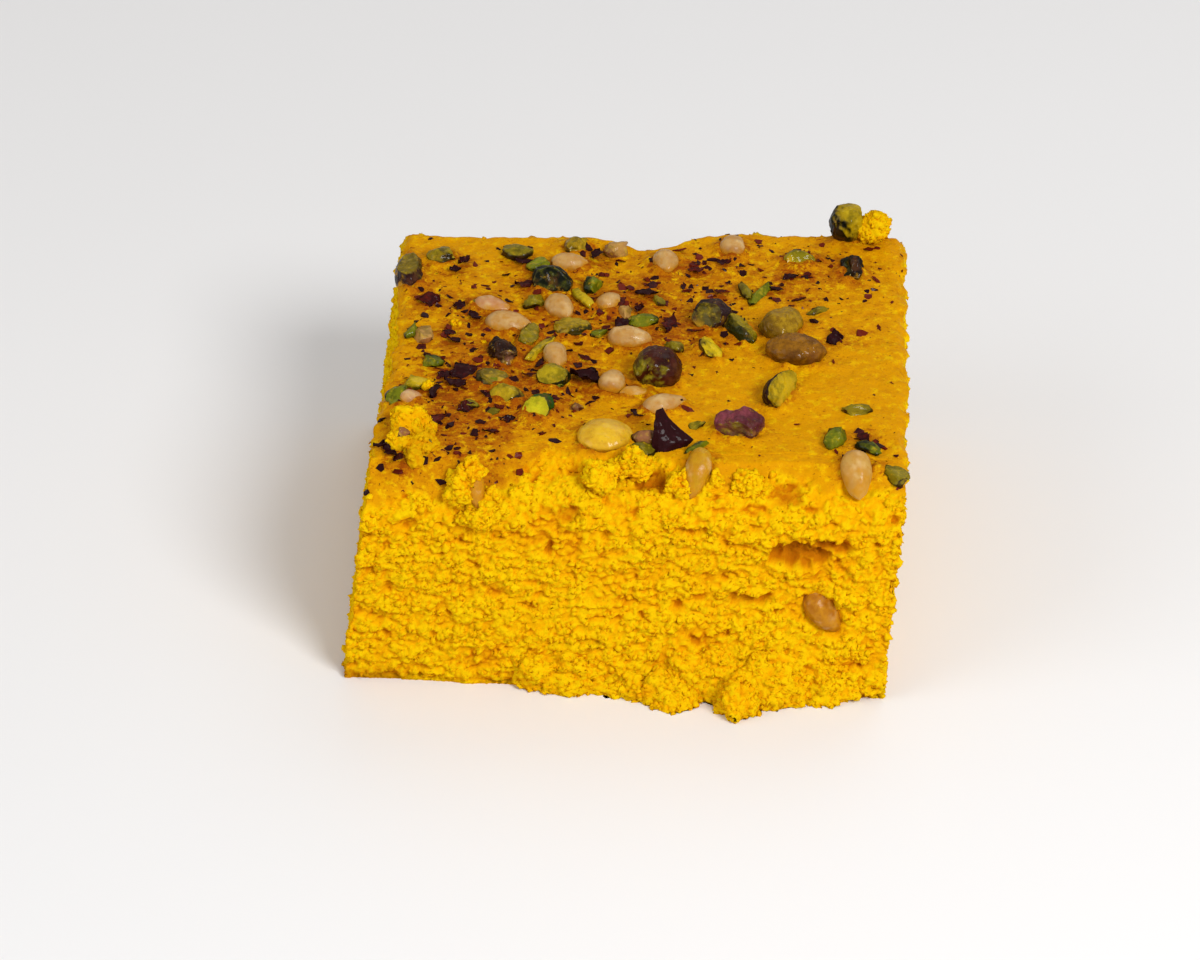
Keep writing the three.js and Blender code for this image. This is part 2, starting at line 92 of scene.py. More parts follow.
# Lumps that stand out of the torn edge and of the foot: centre, size and turn in degrees.
EDGE_LUMPS = (
    ((0.0032, -0.0406, 0.0456), (0.0080, 0.0055, 0.0055), 10),
    ((-0.0034, -0.0416, 0.0438), (0.0060, 0.0050, 0.0050), -15),
    ((0.0240, -0.0418, 0.0434), (0.0070, 0.0046, 0.0046), 8),
    ((0.0112, -0.0488, 0.0004), (0.0120, 0.0130, 0.0110), -8),
    ((0.0050, -0.0476, 0.0006), (0.0130, 0.0085, 0.0090), 0),
    ((0.0232, -0.0502, 0.0012), (0.0090, 0.0145, 0.0130), 8),
    ((0.0174, -0.0482, 0.0030), (0.0150, 0.0080, 0.0160), 0),
    ((0.0305, -0.0482, 0.0020), (0.0150, 0.0095, 0.0140), 6),
    ((0.0404, -0.0470, 0.0016), (0.0120, 0.0080, 0.0110), -8),
    ((-0.0080, -0.0474, 0.0030), (0.0220, 0.0066, 0.0100), 3),
    ((-0.0290, -0.0440, 0.0428), (0.0050, 0.0050, 0.0070), 20),
    ((-0.0232, -0.0446, 0.0404), (0.0042, 0.0046, 0.0060), -10),
    ((-0.0262, -0.0440, 0.0466), (0.0060, 0.0040, 0.0030), 5),
    ((-0.0262, -0.0462, 0.0378), (0.0056, 0.0040, 0.0040), 0),
    ((0.0128, -0.0415, 0.0440), (0.0042, 0.0046, 0.0052), 0),
    ((0.0190, -0.0413, 0.0442), (0.0044, 0.0042, 0.0046), 0),
    ((-0.0368, -0.0148, 0.0464), (0.0016, 0.0016, 0.0014), 0),
    ((-0.0330, 0.0078, 0.0464), (0.0018, 0.0018, 0.0014), 30),
    ((-0.0274, 0.0012, 0.0464), (0.0016, 0.0018, 0.0014), 0),
)

# Lobes of the loose crumb lump at the front left: centre, size and turn in degrees.
LOOSE_LOBES = (
    ((-0.0392, -0.0300, 0.0478), (0.0064, 0.0048, 0.0050), 5),
    ((-0.0356, -0.0318, 0.0470), (0.0044, 0.0036, 0.0032), 25),
    ((-0.0408, -0.0348, 0.0470), (0.0052, 0.0060, 0.0044), -20),
    ((-0.0384, -0.0382, 0.0458), (0.0036, 0.0056, 0.0036), 10),
    ((-0.0356, -0.0360, 0.0460), (0.0044, 0.0046, 0.0034), 35),
    ((-0.0376, -0.0338, 0.0466), (0.0060, 0.0070, 0.0042), 0),
)

# Lobes of the crumb lump at the back right corner.
BACK_LOBES = (
    ((0.0483, 0.0438, 0.0489), (0.0052, 0.0056, 0.0062), 0),
    ((0.0470, 0.0428, 0.0474), (0.0036, 0.0040, 0.0040), 30),
    ((0.0497, 0.0447, 0.0475), (0.0034, 0.0036, 0.0036), -20),
    ((0.0486, 0.0430, 0.0508), (0.0034, 0.0036, 0.0030), 10),
)

# Hollows in the front: centre across and up, width, height and depth.
HOLLOWS = (
    (0.0350, 0.0308, 0.0130, 0.0056, 0.0031),
    (0.0405, 0.0326, 0.0090, 0.0032, 0.0022),
    (0.0325, 0.0425, 0.0060, 0.0052, 0.0014),
    (0.0065, 0.0440, 0.0060, 0.0046, 0.0020),
    (0.0250, 0.0208, 0.0100, 0.0024, 0.0016),
    (-0.0090, 0.0385, 0.0090, 0.0030, 0.0014),
    (0.0150, 0.0035, 0.0120, 0.0022, 0.0014),
)

# Looks of the pistachios: skin, flesh, how much of the skin is gone and the side that keeps it.
PISTACHIO_LOOKS = {
    "pistachio_01": ("#2a0c0e", "#8a7214", 0.06, (-0.4, -0.3, -0.6)),
    "pistachio_02": ("#3a2e06", "#a48c10", 0.58, (0.6, 0.0, -0.4)),
    "pistachio_03": ("#0c1204", "#6c6c10", 0.34, (0.2, -0.6, 0.2)),
    "pistachio_04": ("#262204", "#8c9010", 0.78, (0.0, 0.5, -0.5)),
    "pistachio_05": ("#3a2c06", "#b8920e", 0.55, (-0.5, 0.0, -0.7)),
    "pistachio_06": ("#383206", "#bc9812", 0.65, (0.8, -0.2, -0.2)),
    "pistachio_07": ("#2a2405", "#907c08", 0.55, (-0.4, 0.4, -0.4)),
    "pistachio_08": ("#28120a", "#8a5c44", 0.20, (-0.3, 0.2, 0.5)),
    "pistachio_09": ("#1e1e06", "#b49a10", 0.00, (0.3, -0.2, -1.1)),
    "pistachio_10": ("#2c2806", "#8e7408", 0.55, (-0.5, 0.0, 0.0)),
    "pistachio_11": ("#221c06", "#c0a010", 0.04, (0.2, -0.3, -1.1)),
    "pistachio_12": ("#264c08", "#cec21a", 0.52, (0.8, 0.1, 0.3)),
    "pistachio_13": ("#44170a", "#9a8c12", 0.58, (0.5, 0.4, 0.5)),
    "pistachio_14": ("#2e1a1c", "#746420", 0.10, (0.7, 0.1, 0.3)),
    "pistachio_15": ("#2a2c06", "#a48e10", 0.85, (-0.2, -0.4, 0.3)),
    "pistachio_16": ("#a07c0e", "#b8981c", 0.20, (-0.6, -0.4, 0.0)),
    "pistachio_17": ("#8c5c0c", "#946c24", 0.20, (0.4, -0.3, 0.0)),
    "pistachio_18": ("#20100a", "#fcd61a", 1.10, (-0.95, -0.1, 0.0)),
    "pistachio_19": ("#260c0c", "#c6a40e", 0.66, (-0.85, 0.4, 0.1)),
    "pistachio_20": ("#7e3a44", "#86760e", 0.12, (-0.2, 0.4, 0.8)),
    "pistachio_21": ("#2c3206", "#b09c0c", 0.70, (0.0, 0.7, -0.4)),
    "pistachio_22": ("#1a0c08", "#54580a", 0.42, (-0.3, 0.0, 0.8)),
    "pistachio_23": ("#0c1204", "#c8a60e", 1.05, (-0.95, -0.1, 0.1)),
}

# Looks of the pine nuts that differ from the usual cream.
PINE_NUT_CREAM = "#bc9356"
PINE_NUT_LOOKS = {
    "pine_nut_04": "#bd8a60",
    "pine_nut_13": "#b6880e",
    "pine_nut_14": "#bd9348",
    "pine_nut_15": "#ad7e58",
    "pine_nut_16": "#b8801c",
    "pine_nut_17": "#a0640a",
}

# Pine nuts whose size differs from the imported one: 16 lies deeper, 13 and 17 show more.
PINE_NUT_SHARES = {"pine_nut_13": 1.0, "pine_nut_16": 0.86, "pine_nut_17": 1.22}

# Pine nuts of the torn edge, which stay cleaner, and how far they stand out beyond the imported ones.
EDGE_PINE_NUTS = {
    "pine_nut_13": (-0.0006, -0.0014, 0.0006),
    "pine_nut_14": (0.0, -0.0008, 0.0003),
    "pine_nut_17": (0.0, 0.0004, 0.0),
}

# Looks of the chips by kind, given as the pistachios' are.
CHIP_LOOKS = {
    "dull": ("#3a2c08", "#80700c", 0.45, (0.0, 0.0, -0.5)),
    "green": ("#1a1e06", "#6e720a", 0.38, (-0.3, 0.5, -0.3)),
    "bright": ("#4c500a", "#c4a410", 0.75, (0.5, 0.5, 0.0)),
    "pale": ("#96602e", "#b88a48", 0.50, (0.0, 0.0, -0.5)),
    "rosy": ("#4c1c12", "#93603e", 0.35, (0.0, 0.4, -0.5)),
}

BROWN_KERNELS = ("pistachio_16", "pistachio_17")
PURPLE_KERNELS = ("pistachio_01", "pistachio_08", "pistachio_13", "pistachio_14", "pistachio_20")
RAGGED_KERNELS = ("pistachio_08", "pistachio_20", "pistachio_22")

# Chips of nut: centre, rise over the crust, size, turn in degrees and kind.
CHIPS = (
    (-0.0223, 0.0355, 0.0003, (0.0055, 0.0045, 0.0030), 0, "dull"),
    (-0.0180, 0.0160, 0.0004, (0.0050, 0.0040, 0.0028), 50, "dull"),
    (-0.0070, 0.0234, 0.0007, (0.0050, 0.0030, 0.0030), 75, "green"),
    (-0.0083, 0.0173, 0.0006, (0.0070, 0.0022, 0.0020), -55, "bright"),
    (-0.0162, -0.0016, 0.0006, (0.0085, 0.0020, 0.0020), 58, "bright"),
    (-0.0370, -0.0065, 0.0004, (0.0042, 0.0030, 0.0024), -10, "green"),
    (-0.0392, -0.0136, 0.0004, (0.0044, 0.0036, 0.0026), 20, "bright"),
    (0.0030, 0.0100, 0.0006, (0.0054, 0.0028, 0.0026), 8, "green"),
    (0.0232, 0.0220, 0.0003, (0.0060, 0.0020, 0.0018), -70, "dull"),
    (0.0257, 0.0215, 0.0004, (0.0070, 0.0024, 0.0020), 65, "green"),
    (0.0370, 0.0156, 0.0001, (0.0044, 0.0030, 0.0018), 20, "dull"),
    (0.0445, -0.0199, 0.0004, (0.0052, 0.0032, 0.0022), 5, "dull"),
    (0.0150, -0.0264, 0.0003, (0.0030, 0.0022, 0.0018), 20, "dull"),
    (0.0410, -0.0309, 0.0008, (0.0060, 0.0034, 0.0030), 75, "green"),
    (0.0472, -0.0330, 0.0004, (0.0052, 0.0030, 0.0022), -40, "green"),
    (0.0524, -0.0402, -0.0006, (0.0065, 0.0032, 0.0026), -55, "dull"),
    (0.0150, -0.0342, 0.0003, (0.0048, 0.0022, 0.0018), 40, "green"),
    (0.0046, -0.0352, 0.0002, (0.0046, 0.0036, 0.0024), 30, "dull"),
    (-0.0422, -0.0183, 0.0007, (0.0050, 0.0034, 0.0030), 60, "green"),
    (-0.0003, 0.0132, 0.0005, (0.0040, 0.0026, 0.0026), 80, "pale"),
    (-0.0390, 0.0032, 0.0006, (0.0042, 0.0036, 0.0030), 60, "pale"),
    (-0.0414, 0.0045, 0.0003, (0.0045, 0.0024, 0.0024), 80, "green"),
    (-0.0025, 0.0374, 0.0003, (0.0050, 0.0040, 0.0030), 30, "pale"),
    (0.0096, 0.0006, 0.0005, (0.0040, 0.0030, 0.0026), -40, "dull"),
    (0.0056, -0.0330, 0.0012, (0.0048, 0.0030, 0.0028), -10, "rosy"),
    (-0.0084, -0.0214, 0.0004, (0.0026, 0.0018, 0.0018), 30, "rosy"),
    (-0.0284, -0.0212, 0.0002, (0.0030, 0.0022, 0.0018), -20, "dull"),
    (-0.0240, -0.0238, 0.0002, (0.0028, 0.0020, 0.0016), 40, "dull"),
    (-0.0252, -0.0128, 0.0004, (0.0034, 0.0024, 0.0022), 10, "green"),
    (-0.0120, -0.0130, 0.0004, (0.0026, 0.0020, 0.0018), 70, "green"),
    (-0.0296, 0.0150, 0.0003, (0.0028, 0.0020, 0.0016), -30, "dull"),
    (-0.0052, 0.0052, 0.0004, (0.0032, 0.0022, 0.0020), 15, "green"),
    (0.0060, 0.0180, 0.0004, (0.0030, 0.0022, 0.0018), -45, "dull"),
    (-0.0402, -0.0352, 0.0030, (0.0026, 0.0018, 0.0016), 30, "rosy"),
    (-0.0352, -0.0362, 0.0012, (0.0024, 0.0018, 0.0014), 0, "dull"),
)

# Dark petals pressed into the crust: centre, rise, length, width and turn in degrees.
PETALS = (
    (-0.0072, -0.0112, 0.0008, 0.0065, 0.0045, -30),
    (-0.0305, -0.0098, 0.0006, 0.0060, 0.0040, 30),
    (-0.0354, -0.0166, 0.0004, 0.0050, 0.0020, 80),
    (-0.0340, -0.0269, 0.0003, 0.0045, 0.0024, 60),
    (-0.0240, -0.0302, 0.0002, 0.0032, 0.0020, -10),
    (0.0038, -0.0233, 0.0003, 0.0036, 0.0024, -20),
    (0.0463, -0.0292, 0.0002, 0.0032, 0.0022, -50),
    (-0.0390, 0.0164, 0.0005, 0.0046, 0.0036, 0),
    (-0.0332, 0.0018, 0.0002, 0.0034, 0.0022, -35),
    (0.0130, 0.0300, 0.0003, 0.0032, 0.0026, 10),
    (0.0318, 0.0278, 0.0003, 0.0034, 0.0020, 25),
    (-0.0068, 0.0346, 0.0005, 0.0036, 0.0024, 70),
    (-0.0206, 0.0230, 0.0004, 0.0038, 0.0026, 0),
    (-0.0210, 0.0318, 0.0003, 0.0038, 0.0022, -10),
    (0.0036, 0.0206, 0.0004, 0.0046, 0.0034, 0),
    (-0.0014, 0.0166, 0.0009, 0.0046, 0.0026, 80),
    (-0.0424, -0.0380, 0.0000, 0.0044, 0.0024, -50),
    (-0.0296, 0.0104, 0.0003, 0.0036, 0.0022, -55),
    (0.0083, 0.0090, 0.0003, 0.0060, 0.0030, 80),
    (0.0406, 0.0048, 0.0002, 0.0036, 0.0032, 20),
    (-0.0336, -0.0108, 0.0002, 0.0035, 0.0020, 0),
    (-0.0342, 0.0048, 0.0002, 0.0028, 0.0016, -15),
    (0.0350, 0.0280, 0.0002, 0.0024, 0.0016, 0),
    (-0.0006, 0.0086, 0.0006, 0.0036, 0.0026, 30),
    (-0.0440, -0.0362, 0.0002, 0.0034, 0.0024, 20),
    (-0.0408, -0.0394, -0.0004, 0.0030, 0.0018, 60),
    (-0.0328, 0.0143, 0.0002, 0.0024, 0.0020, 0),
    (-0.0330, 0.0310, 0.0003, 0.0030, 0.0020, 40),
    (-0.0345, 0.0276, 0.0002, 0.0024, 0.0018, 0),
    (0.0024, 0.0143, 0.0003, 0.0024, 0.0020, 70),
    (0.0184, 0.0329, 0.0002, 0.0030, 0.0014, 5),
    (0.0290, 0.0235, 0.0002, 0.0030, 0.0012, -20),
    (0.0335, 0.0195, 0.0002, 0.0032, 0.0016, 30),
    (0.0180, 0.0219, 0.0002, 0.0024, 0.0020, 0),
    (-0.0159, -0.0062, 0.0004, 0.0045, 0.0012, 70),
    (-0.0073, -0.0039, 0.0003, 0.0034, 0.0010, -35),
    (-0.0176, -0.0106, 0.0004, 0.0032, 0.0012, -10),
    (0.0136, 0.0070, 0.0003, 0.0034, 0.0010, 5),
    (-0.0290, -0.0226, 0.0003, 0.0040, 0.0026, 35),
    (-0.0318, -0.0132, 0.0003, 0.0046, 0.0030, -20),
    (-0.0210, -0.0262, 0.0002, 0.0030, 0.0018, 15),
)

# Where small flakes lie thickest: centre, reach and share of the full density.
FLAKE_DRIFTS = (
    (-0.0260, -0.0060, 0.0160, 1.0),
    (-0.0320, -0.0270, 0.0125, 1.0),
    (-0.0050, 0.0180, 0.0160, 0.9),
    (-0.0120, -0.0200, 0.0120, 0.6),
    (0.0160, 0.0240, 0.0140, 0.7),
    (0.0380, 0.0300, 0.0120, 0.8),
    (0.0100, 0.0020, 0.0100, 0.6),
    (-0.0380, 0.0180, 0.0120, 0.5),
    (0.0430, 0.0080, 0.0090, 0.4),
    (0.0460, -0.0330, 0.0070, 0.5),
    (-0.0260, -0.0400, 0.0110, 0.5),
)


def clamp(value, low=0.0, high=1.0):
    return max(low, min(high, value))


def mix(a, b, share):
    return a + (b - a) * share


def smoothstep(value, low, high):
    share = clamp((value - low) / (high - low))
    return share * share * (3 - 2 * share)


def linear(code):
    """A colour such as #7F8A2A in scene linear."""
    shares = [int(code[place:place + 2], 16) / 255 for place in (1, 3, 5)]
    return [share / 12.92 if share <= 0.04045 else ((share + 0.055) / 1.055) ** 2.4
            for share in shares]


# Crumbs for each square metre of the pieces that carry them.
CRUMB_DENSITIES = {
    "torn_front": 1.5e6,
    "cake_block": 6.0e5,
    "edge_lumps": 1.3e6,
    "loose_lump": 1.2e6,
    "back_lump": 1.2e6,
}


class CakeSizes(bpy.types.PropertyGroup):
    """Sizes of the cake that a user would change."""

    height: FloatProperty(
        name="Height", description="Underside to crust", default=0.046, unit="LENGTH")
    grid: FloatProperty(
        name="Surface grid", description="Spacing of the block's vertices",
        default=0.00054, unit="LENGTH")
    fine_grid: FloatProperty(
        name="Front grid", description="Spacing of the torn front's vertices",
        default=0.00029, unit="LENGTH")
    relief: FloatProperty(
        name="Crumb relief", description="Share of the full relief of the torn front",
        default=1.0, subtype="FACTOR", min=0.0, max=2.0)
    cut_relief: FloatProperty(
        name="Cut relief", description="Share of the relief on the three cut sides",
        default=0.80, subtype="FACTOR", min=0.0, max=2.0)
    swell: FloatProperty(
        name="Crust swell", description="Height of the crust's slow waves",
        default=0.0004, unit="LENGTH")
    crumb: FloatProperty(
        name="Crumb", description="Mean width of a single crumb", default=0.0011, unit="LENGTH")
    flake: FloatProperty(
        name="Flake", description="Mean width of a small petal flake",
        default=0.0009, unit="LENGTH")
    seed: IntProperty(name="Seed", description="Start of every random draw", default=7)


class CakeColors(bpy.types.PropertyGroup):
    """Base colours of the cake, scene linear."""

    crumb_high: FloatVectorProperty(
        name="Crumb", description="Standing crumbs", subtype="COLOR", size=3,
        default=(0.775, 0.474, 0.0015))
    # Painted shade: the amber that recesses between crumbs take.
    crumb_recess_shade: FloatVectorProperty(
        name="Crumb recess", description="Recesses between crumbs", subtype="COLOR", size=3,
        default=(0.77, 0.372, 0.001))
    crust: FloatVectorProperty(
        name="Crust", description="Moist smooth crust", subtype="COLOR", size=3,
        default=(0.635, 0.276, 0.001))
    # Also carries painted shade in the tears of the front and on one side of the loose lump.
    stain: FloatVectorProperty(
        name="Crust stain", description="Crust round nuts and petals", subtype="COLOR", size=3,
        default=(0.40, 0.12, 0.002))
    petal: FloatVectorProperty(
        name="Petal", description="Dry dark petal", subtype="COLOR", size=3,
        default=(0.020, 0.003, 0.004))


class StudioSettings(bpy.types.PropertyGroup):
    """Camera and light."""

    camera: FloatVectorProperty(
        name="Camera", description="Place of the camera in the block's axes", size=3,
        default=(0.0317, -0.8342, 0.5717), subtype="XYZ", unit="LENGTH")
    target: FloatVectorProperty(
        name="Target", description="Point in the middle of the picture", size=3,
        default=(-0.0057, 0.0238, 0.0), subtype="XYZ", unit="LENGTH")
    lens: FloatProperty(name="Lens", description="Focal length in mm", default=153.2)
    key: FloatProperty(
        name="Key light", description="Power of the large front light", default=9.8, unit="POWER")


class Value:
    """A number in a material's tree, so that its maths reads as an expression."""

    def __init__(self, paint, socket):
        self.paint = paint
        self.socket = socket

    def math(self, operation, *others):
        values = [self, *others]
        inputs = {place: value for place, value in enumerate(values)}
        node = self.paint.add("ShaderNodeMath", {"operation": operation}, inputs)
        return Value(self.paint, node.outputs[0])

    def __add__(self, other):
        return self.math("ADD", other)

    __radd__ = __add__

    def __mul__(self, other):
        return self.math("MULTIPLY", other)

    __rmul__ = __mul__

    def __sub__(self, other):
        return self.math("SUBTRACT", other)

    def __rsub__(self, other):
        return (self * -1) + other

    def __pow__(self, other):
        return self.math("POWER", other)

    def ramp(self, low, high):
        """0 below low, 1 above high and smooth between."""
        node = self.paint.add(
            "ShaderNodeMapRange", {"interpolation_type": "SMOOTHSTEP"},
            {"Value": self, "From Min": low, "From Max": high})
        return Value(self.paint, node.outputs["Result"])


class Paint:
    """A material under construction, around one Principled shader."""

    def __init__(self, name, **constants):
        self.material = bpy.data.materials.new(name)
        self.material.use_nodes = True
        self.tree = self.material.node_tree
        self.tree.nodes.clear()
        self.shader = self.add("ShaderNodeBsdfPrincipled")
        for socket, value in constants.items():
            self.shader.inputs[socket.replace("_", " ")].default_value = value
        self.add("ShaderNodeOutputMaterial", {}, {"Surface": self.shader.outputs[0]})

    def add(self, kind, settings=None, sockets=None):
        """A node of a type, with its settings made first and then its sockets."""
        node = self.tree.nodes.new(kind)
        for name, value in (settings or {}).items():
            setattr(node, name, value)
        for place, value in (sockets or {}).items():
            socket = node.inputs[place]
            if isinstance(value, Value):
                value = value.socket
            if isinstance(value, bpy.types.NodeSocket):
                self.tree.links.new(value, socket)
            else:
                socket.default_value = value
        return node

    def place(self, stretch=(1, 1, 1)):
        """Object coordinates, stretched."""
        coordinates = self.add("ShaderNodeTexCoord").outputs["Object"]
        node = self.add("ShaderNodeMapping", {}, {"Vector": coordinates, "Scale": stretch})
        return node.outputs[0]

    def attribute(self, name):
        node = self.add("ShaderNodeAttribute", {"attribute_name": name})
        return Value(self, node.outputs["Fac"])

    def color_attribute(self, name):
        return self.add("ShaderNodeAttribute", {"attribute_name": name}).outputs["Color"]

    def noise(self, size, detail=3, roughness=0.55, where=None):
        """Noise whose features are about size wide, from 0 to 1."""
        node = self.add("ShaderNodeTexNoise", {}, {
            "Vector": where or self.place(), "Scale": 1 / size,
            "Detail": detail, "Roughness": roughness})
        return Value(self, node.outputs["Fac"])

    def cells(self, size, where=None):
        """Distance to the nearest of scattered points about size apart."""
        node = self.add("ShaderNodeTexVoronoi", {}, {
            "Vector": where or self.place(), "Scale": 1 / size})
        return Value(self, node.outputs["Distance"])

    def blend(self, share, first, second, how="MIX"):
        """A colour between two colours."""
        node = self.add("ShaderNodeMix", {"data_type": "RGBA", "blend_type": how}, {
            0: share, 6: as_color(first), 7: as_color(second)})
        return node.outputs[2]

    def finish(self, color, roughness, bump=None, depth=0.0002):
        """Connects what changes over the surface and gives the material."""
        links = self.tree.links
        links.new(color, self.shader.inputs["Base Color"])
        links.new(roughness.socket, self.shader.inputs["Roughness"])
        if bump is not None:
            node = self.add("ShaderNodeBump", {}, {"Height": bump, "Distance": depth})
            links.new(node.outputs[0], self.shader.inputs["Normal"])
        return self.material


def as_color(value):
    """A colour with its fourth number, or the socket that it comes from."""
    if isinstance(value, bpy.types.NodeSocket):
        return value
    return (*value, 1.0) if len(value) == 3 else tuple(value)


def crumb_paint(colors):
    """Bright crumbs over amber recesses, with painted light on their tops and painted shade in recesses and creases,
    and the smoother crust.
    """
    paint = Paint("cake_finish", Specular_IOR_Level=0.012)
    lift, crust = paint.attribute("lift"), paint.attribute("crust")
    stain, tone = paint.attribute("stain"), paint.attribute("tone")
    grain = paint.noise(0.0006, 4, 0.65)
    # Painted light and shade after lift: open, standing crumbs lighter, recesses more amber.
    height = (lift + (grain - 0.5) * 0.5 + (tone - 0.5) * 0.35).ramp(0.10, 0.62)
    crumb = paint.blend(height, colors.crumb_recess_shade, colors.crumb_high)
    # Painted light on the most open crumbs.
    painted_light_tops = (lift + (grain - 0.5) * 0.5).ramp(0.6, 1.1) * 0.6
    crumb = paint.blend(painted_light_tops, crumb, (0.81, 0.548, 0.002))
    # Painted shade in the deepest crevices.
    deep = 1 - (lift + (grain - 0.5) * 0.3).ramp(-0.35, 0.22)
    crumb = paint.blend(deep * 0.8, crumb, (0.52, 0.150, 0.001))
    crumb = paint.blend(stain * 0.8, crumb, colors.stain)
    patches = (paint.noise(0.0042, 7, 0.75) * 1.7 + stain * 0.62).ramp(0.86, 1.36)
    skin = paint.blend(patches * 0.9, colors.crust, colors.stain)
    # Lighter patches of crust, partly its own mottling and partly a painted sheen.
    pale = paint.noise(0.0019, 6, 0.72).ramp(0.50, 0.66) * 0.7
    skin = paint.blend(pale, skin, colors.crumb_high)
    drag = paint.place((0.85, 1.1, 1))
    shreds = (paint.noise(0.0015, 5, 0.7, drag) + stain * 0.20).ramp(0.62, 0.74)
    skin = paint.blend(shreds * 0.8, skin, (0.26, 0.045, 0.002))
    # Painted shade of small pores.
    pores = 1 - paint.cells(0.0013).ramp(0.10, 0.24)
    skin = paint.blend(pores * 0.55, skin, (0.46, 0.15, 0.001))
    specks = (paint.noise(0.00045, 2) + stain * 0.10).ramp(0.70, 0.76)
    skin = paint.blend(specks * 0.75, skin, (0.10, 0.02, 0.003))
    color = paint.blend(crust, crumb, skin)
    roughness = 0.85 - crust * 0.42 + (grain - 0.5) * 0.25
    bump = grain * (1.0 - crust * 0.1) + paint.cells(0.0009) * (0.5 - crust * 0.2)
    return paint.finish(color, roughness, bump, 0.0002)


def pistachio_paint():
    """A kernel whose thin dark skin is rubbed off in places and gone where it was cut."""
    paint = Paint("pistachio_finish", Specular_IOR_Level=0.05, Coat_Weight=0.2,
                  Coat_Roughness=0.05)
    cut, bare, core = (paint.attribute(name) for name in ("cut", "bare", "core"))
    skin, flesh = paint.color_attribute("skin"), paint.color_attribute("flesh")
    mottle = paint.noise(0.0021, 5, 0.6)
    # Bare is lowered on the flanks and undersides, so that painted shade shows there as dark skin.
    gone = (cut * 0.6 + bare * 0.9 + (mottle - 0.5) * 1.0).ramp(0.36, 0.82)
    inner = paint.blend(core.ramp(0.35, 1.0) * 0.8, flesh, (0.50, 0.50, 0.20), "MULTIPLY")
    deep = paint.noise(0.0029, 4, 0.6).ramp(0.46, 0.62)
    inner = paint.blend(deep * 0.75, inner, (0.42, 0.46, 0.25), "MULTIPLY")
    warm = paint.noise(0.0011, 3).ramp(0.5, 0.75) * 0.45
    inner = paint.blend(warm, inner, (0.60, 0.42, 0.015))
    veins = paint.noise(0.0012, 4, 0.6).ramp(0.38, 0.70)
    outer = paint.blend(veins * 0.75, skin, (0.30, 0.22, 0.24), "MULTIPLY")
    shade = paint.noise(0.0055, 2).ramp(0.44, 0.62)
    outer = paint.blend(shade * 0.7, outer, (0.24, 0.16, 0.16), "MULTIPLY")
    rubbed = paint.noise(0.003, 2).ramp(0.5, 0.72) * 0.35
    outer = paint.blend(rubbed, outer, (0.15, 0.05, 0.012))
    color = paint.blend(gone, outer, inner)
    glaze = paint.noise(0.0022, 3).ramp(0.52, 0.66) * paint.attribute("low")
    color = paint.blend(glaze * 0.7, color, (0.62, 0.29, 0.004))
    film = paint.noise(0.0012, 4, 0.7).ramp(0.60, 0.68)
    color = paint.blend(film * 0.4, color, (0.52, 0.27, 0.004))
    roughness = 0.30 + mottle * 0.25 + cut * 0.1
    return paint.finish(color, roughness, paint.noise(0.0007, 5, 0.65), 0.00024)


def pine_nut_paint():
    """A smooth kernel with faint streaks, stained yellow where it sits in the crust."""
    paint = Paint("pine_nut_finish", Subsurface_Weight=0.3, Subsurface_Scale=0.0012,
                  Subsurface_Radius=(1.0, 0.8, 0.4), Specular_IOR_Level=0.1, Coat_Weight=0.15,
                  Coat_Roughness=0.12)
    along, low = paint.attribute("along"), paint.attribute("low")
    body = paint.color_attribute("skin")
    streaks = paint.noise(0.0018, 3)
    color = paint.blend(streaks.ramp(0.35, 0.65) * 0.8, body, (0.86, 0.72, 0.50), "MULTIPLY")
    bloom = paint.noise(0.0034, 2).ramp(0.50, 0.70) * 0.55
    color = paint.blend(bloom, color, (0.66, 0.47, 0.22))
    color = paint.blend(along.ramp(0.60, 0.98) * 0.6, color, (0.30, 0.12, 0.025))
    creep = (low + (paint.noise(0.0020, 4) - 0.5) * 1.6).ramp(0.05, 0.75)
    color = paint.blend(creep * 0.9, color, (0.50, 0.215, 0.003))
    dust = paint.noise(0.0009, 3).ramp(0.58, 0.70) * 0.5
    color = paint.blend(dust, color, (0.46, 0.20, 0.008))
    roughness = 0.32 + streaks * 0.2
    return paint.finish(color, roughness, paint.noise(0.0013, 4), 0.00014)


def petal_paint(colors):
    """Dry petal, purple black with red in patches, more on some pieces than others."""
    paint = Paint("petal_finish", Specular_IOR_Level=0.03, Coat_Weight=0.12, Coat_Roughness=0.14)
    tone = paint.attribute("tone")
    mottle = paint.noise(0.0013, 4, 0.65)
    red = (mottle * 0.9 + tone * 0.75).ramp(0.62, 1.15)
    color = paint.blend(red, colors.petal, (0.13, 0.012, 0.003))
    plum = paint.noise(0.0009, 2).ramp(0.58, 0.75) * 0.3
    color = paint.blend(plum, color, (0.075, 0.010, 0.022))
    return paint.finish(color, 0.42 + mottle * 0.3, mottle, 0.0003)


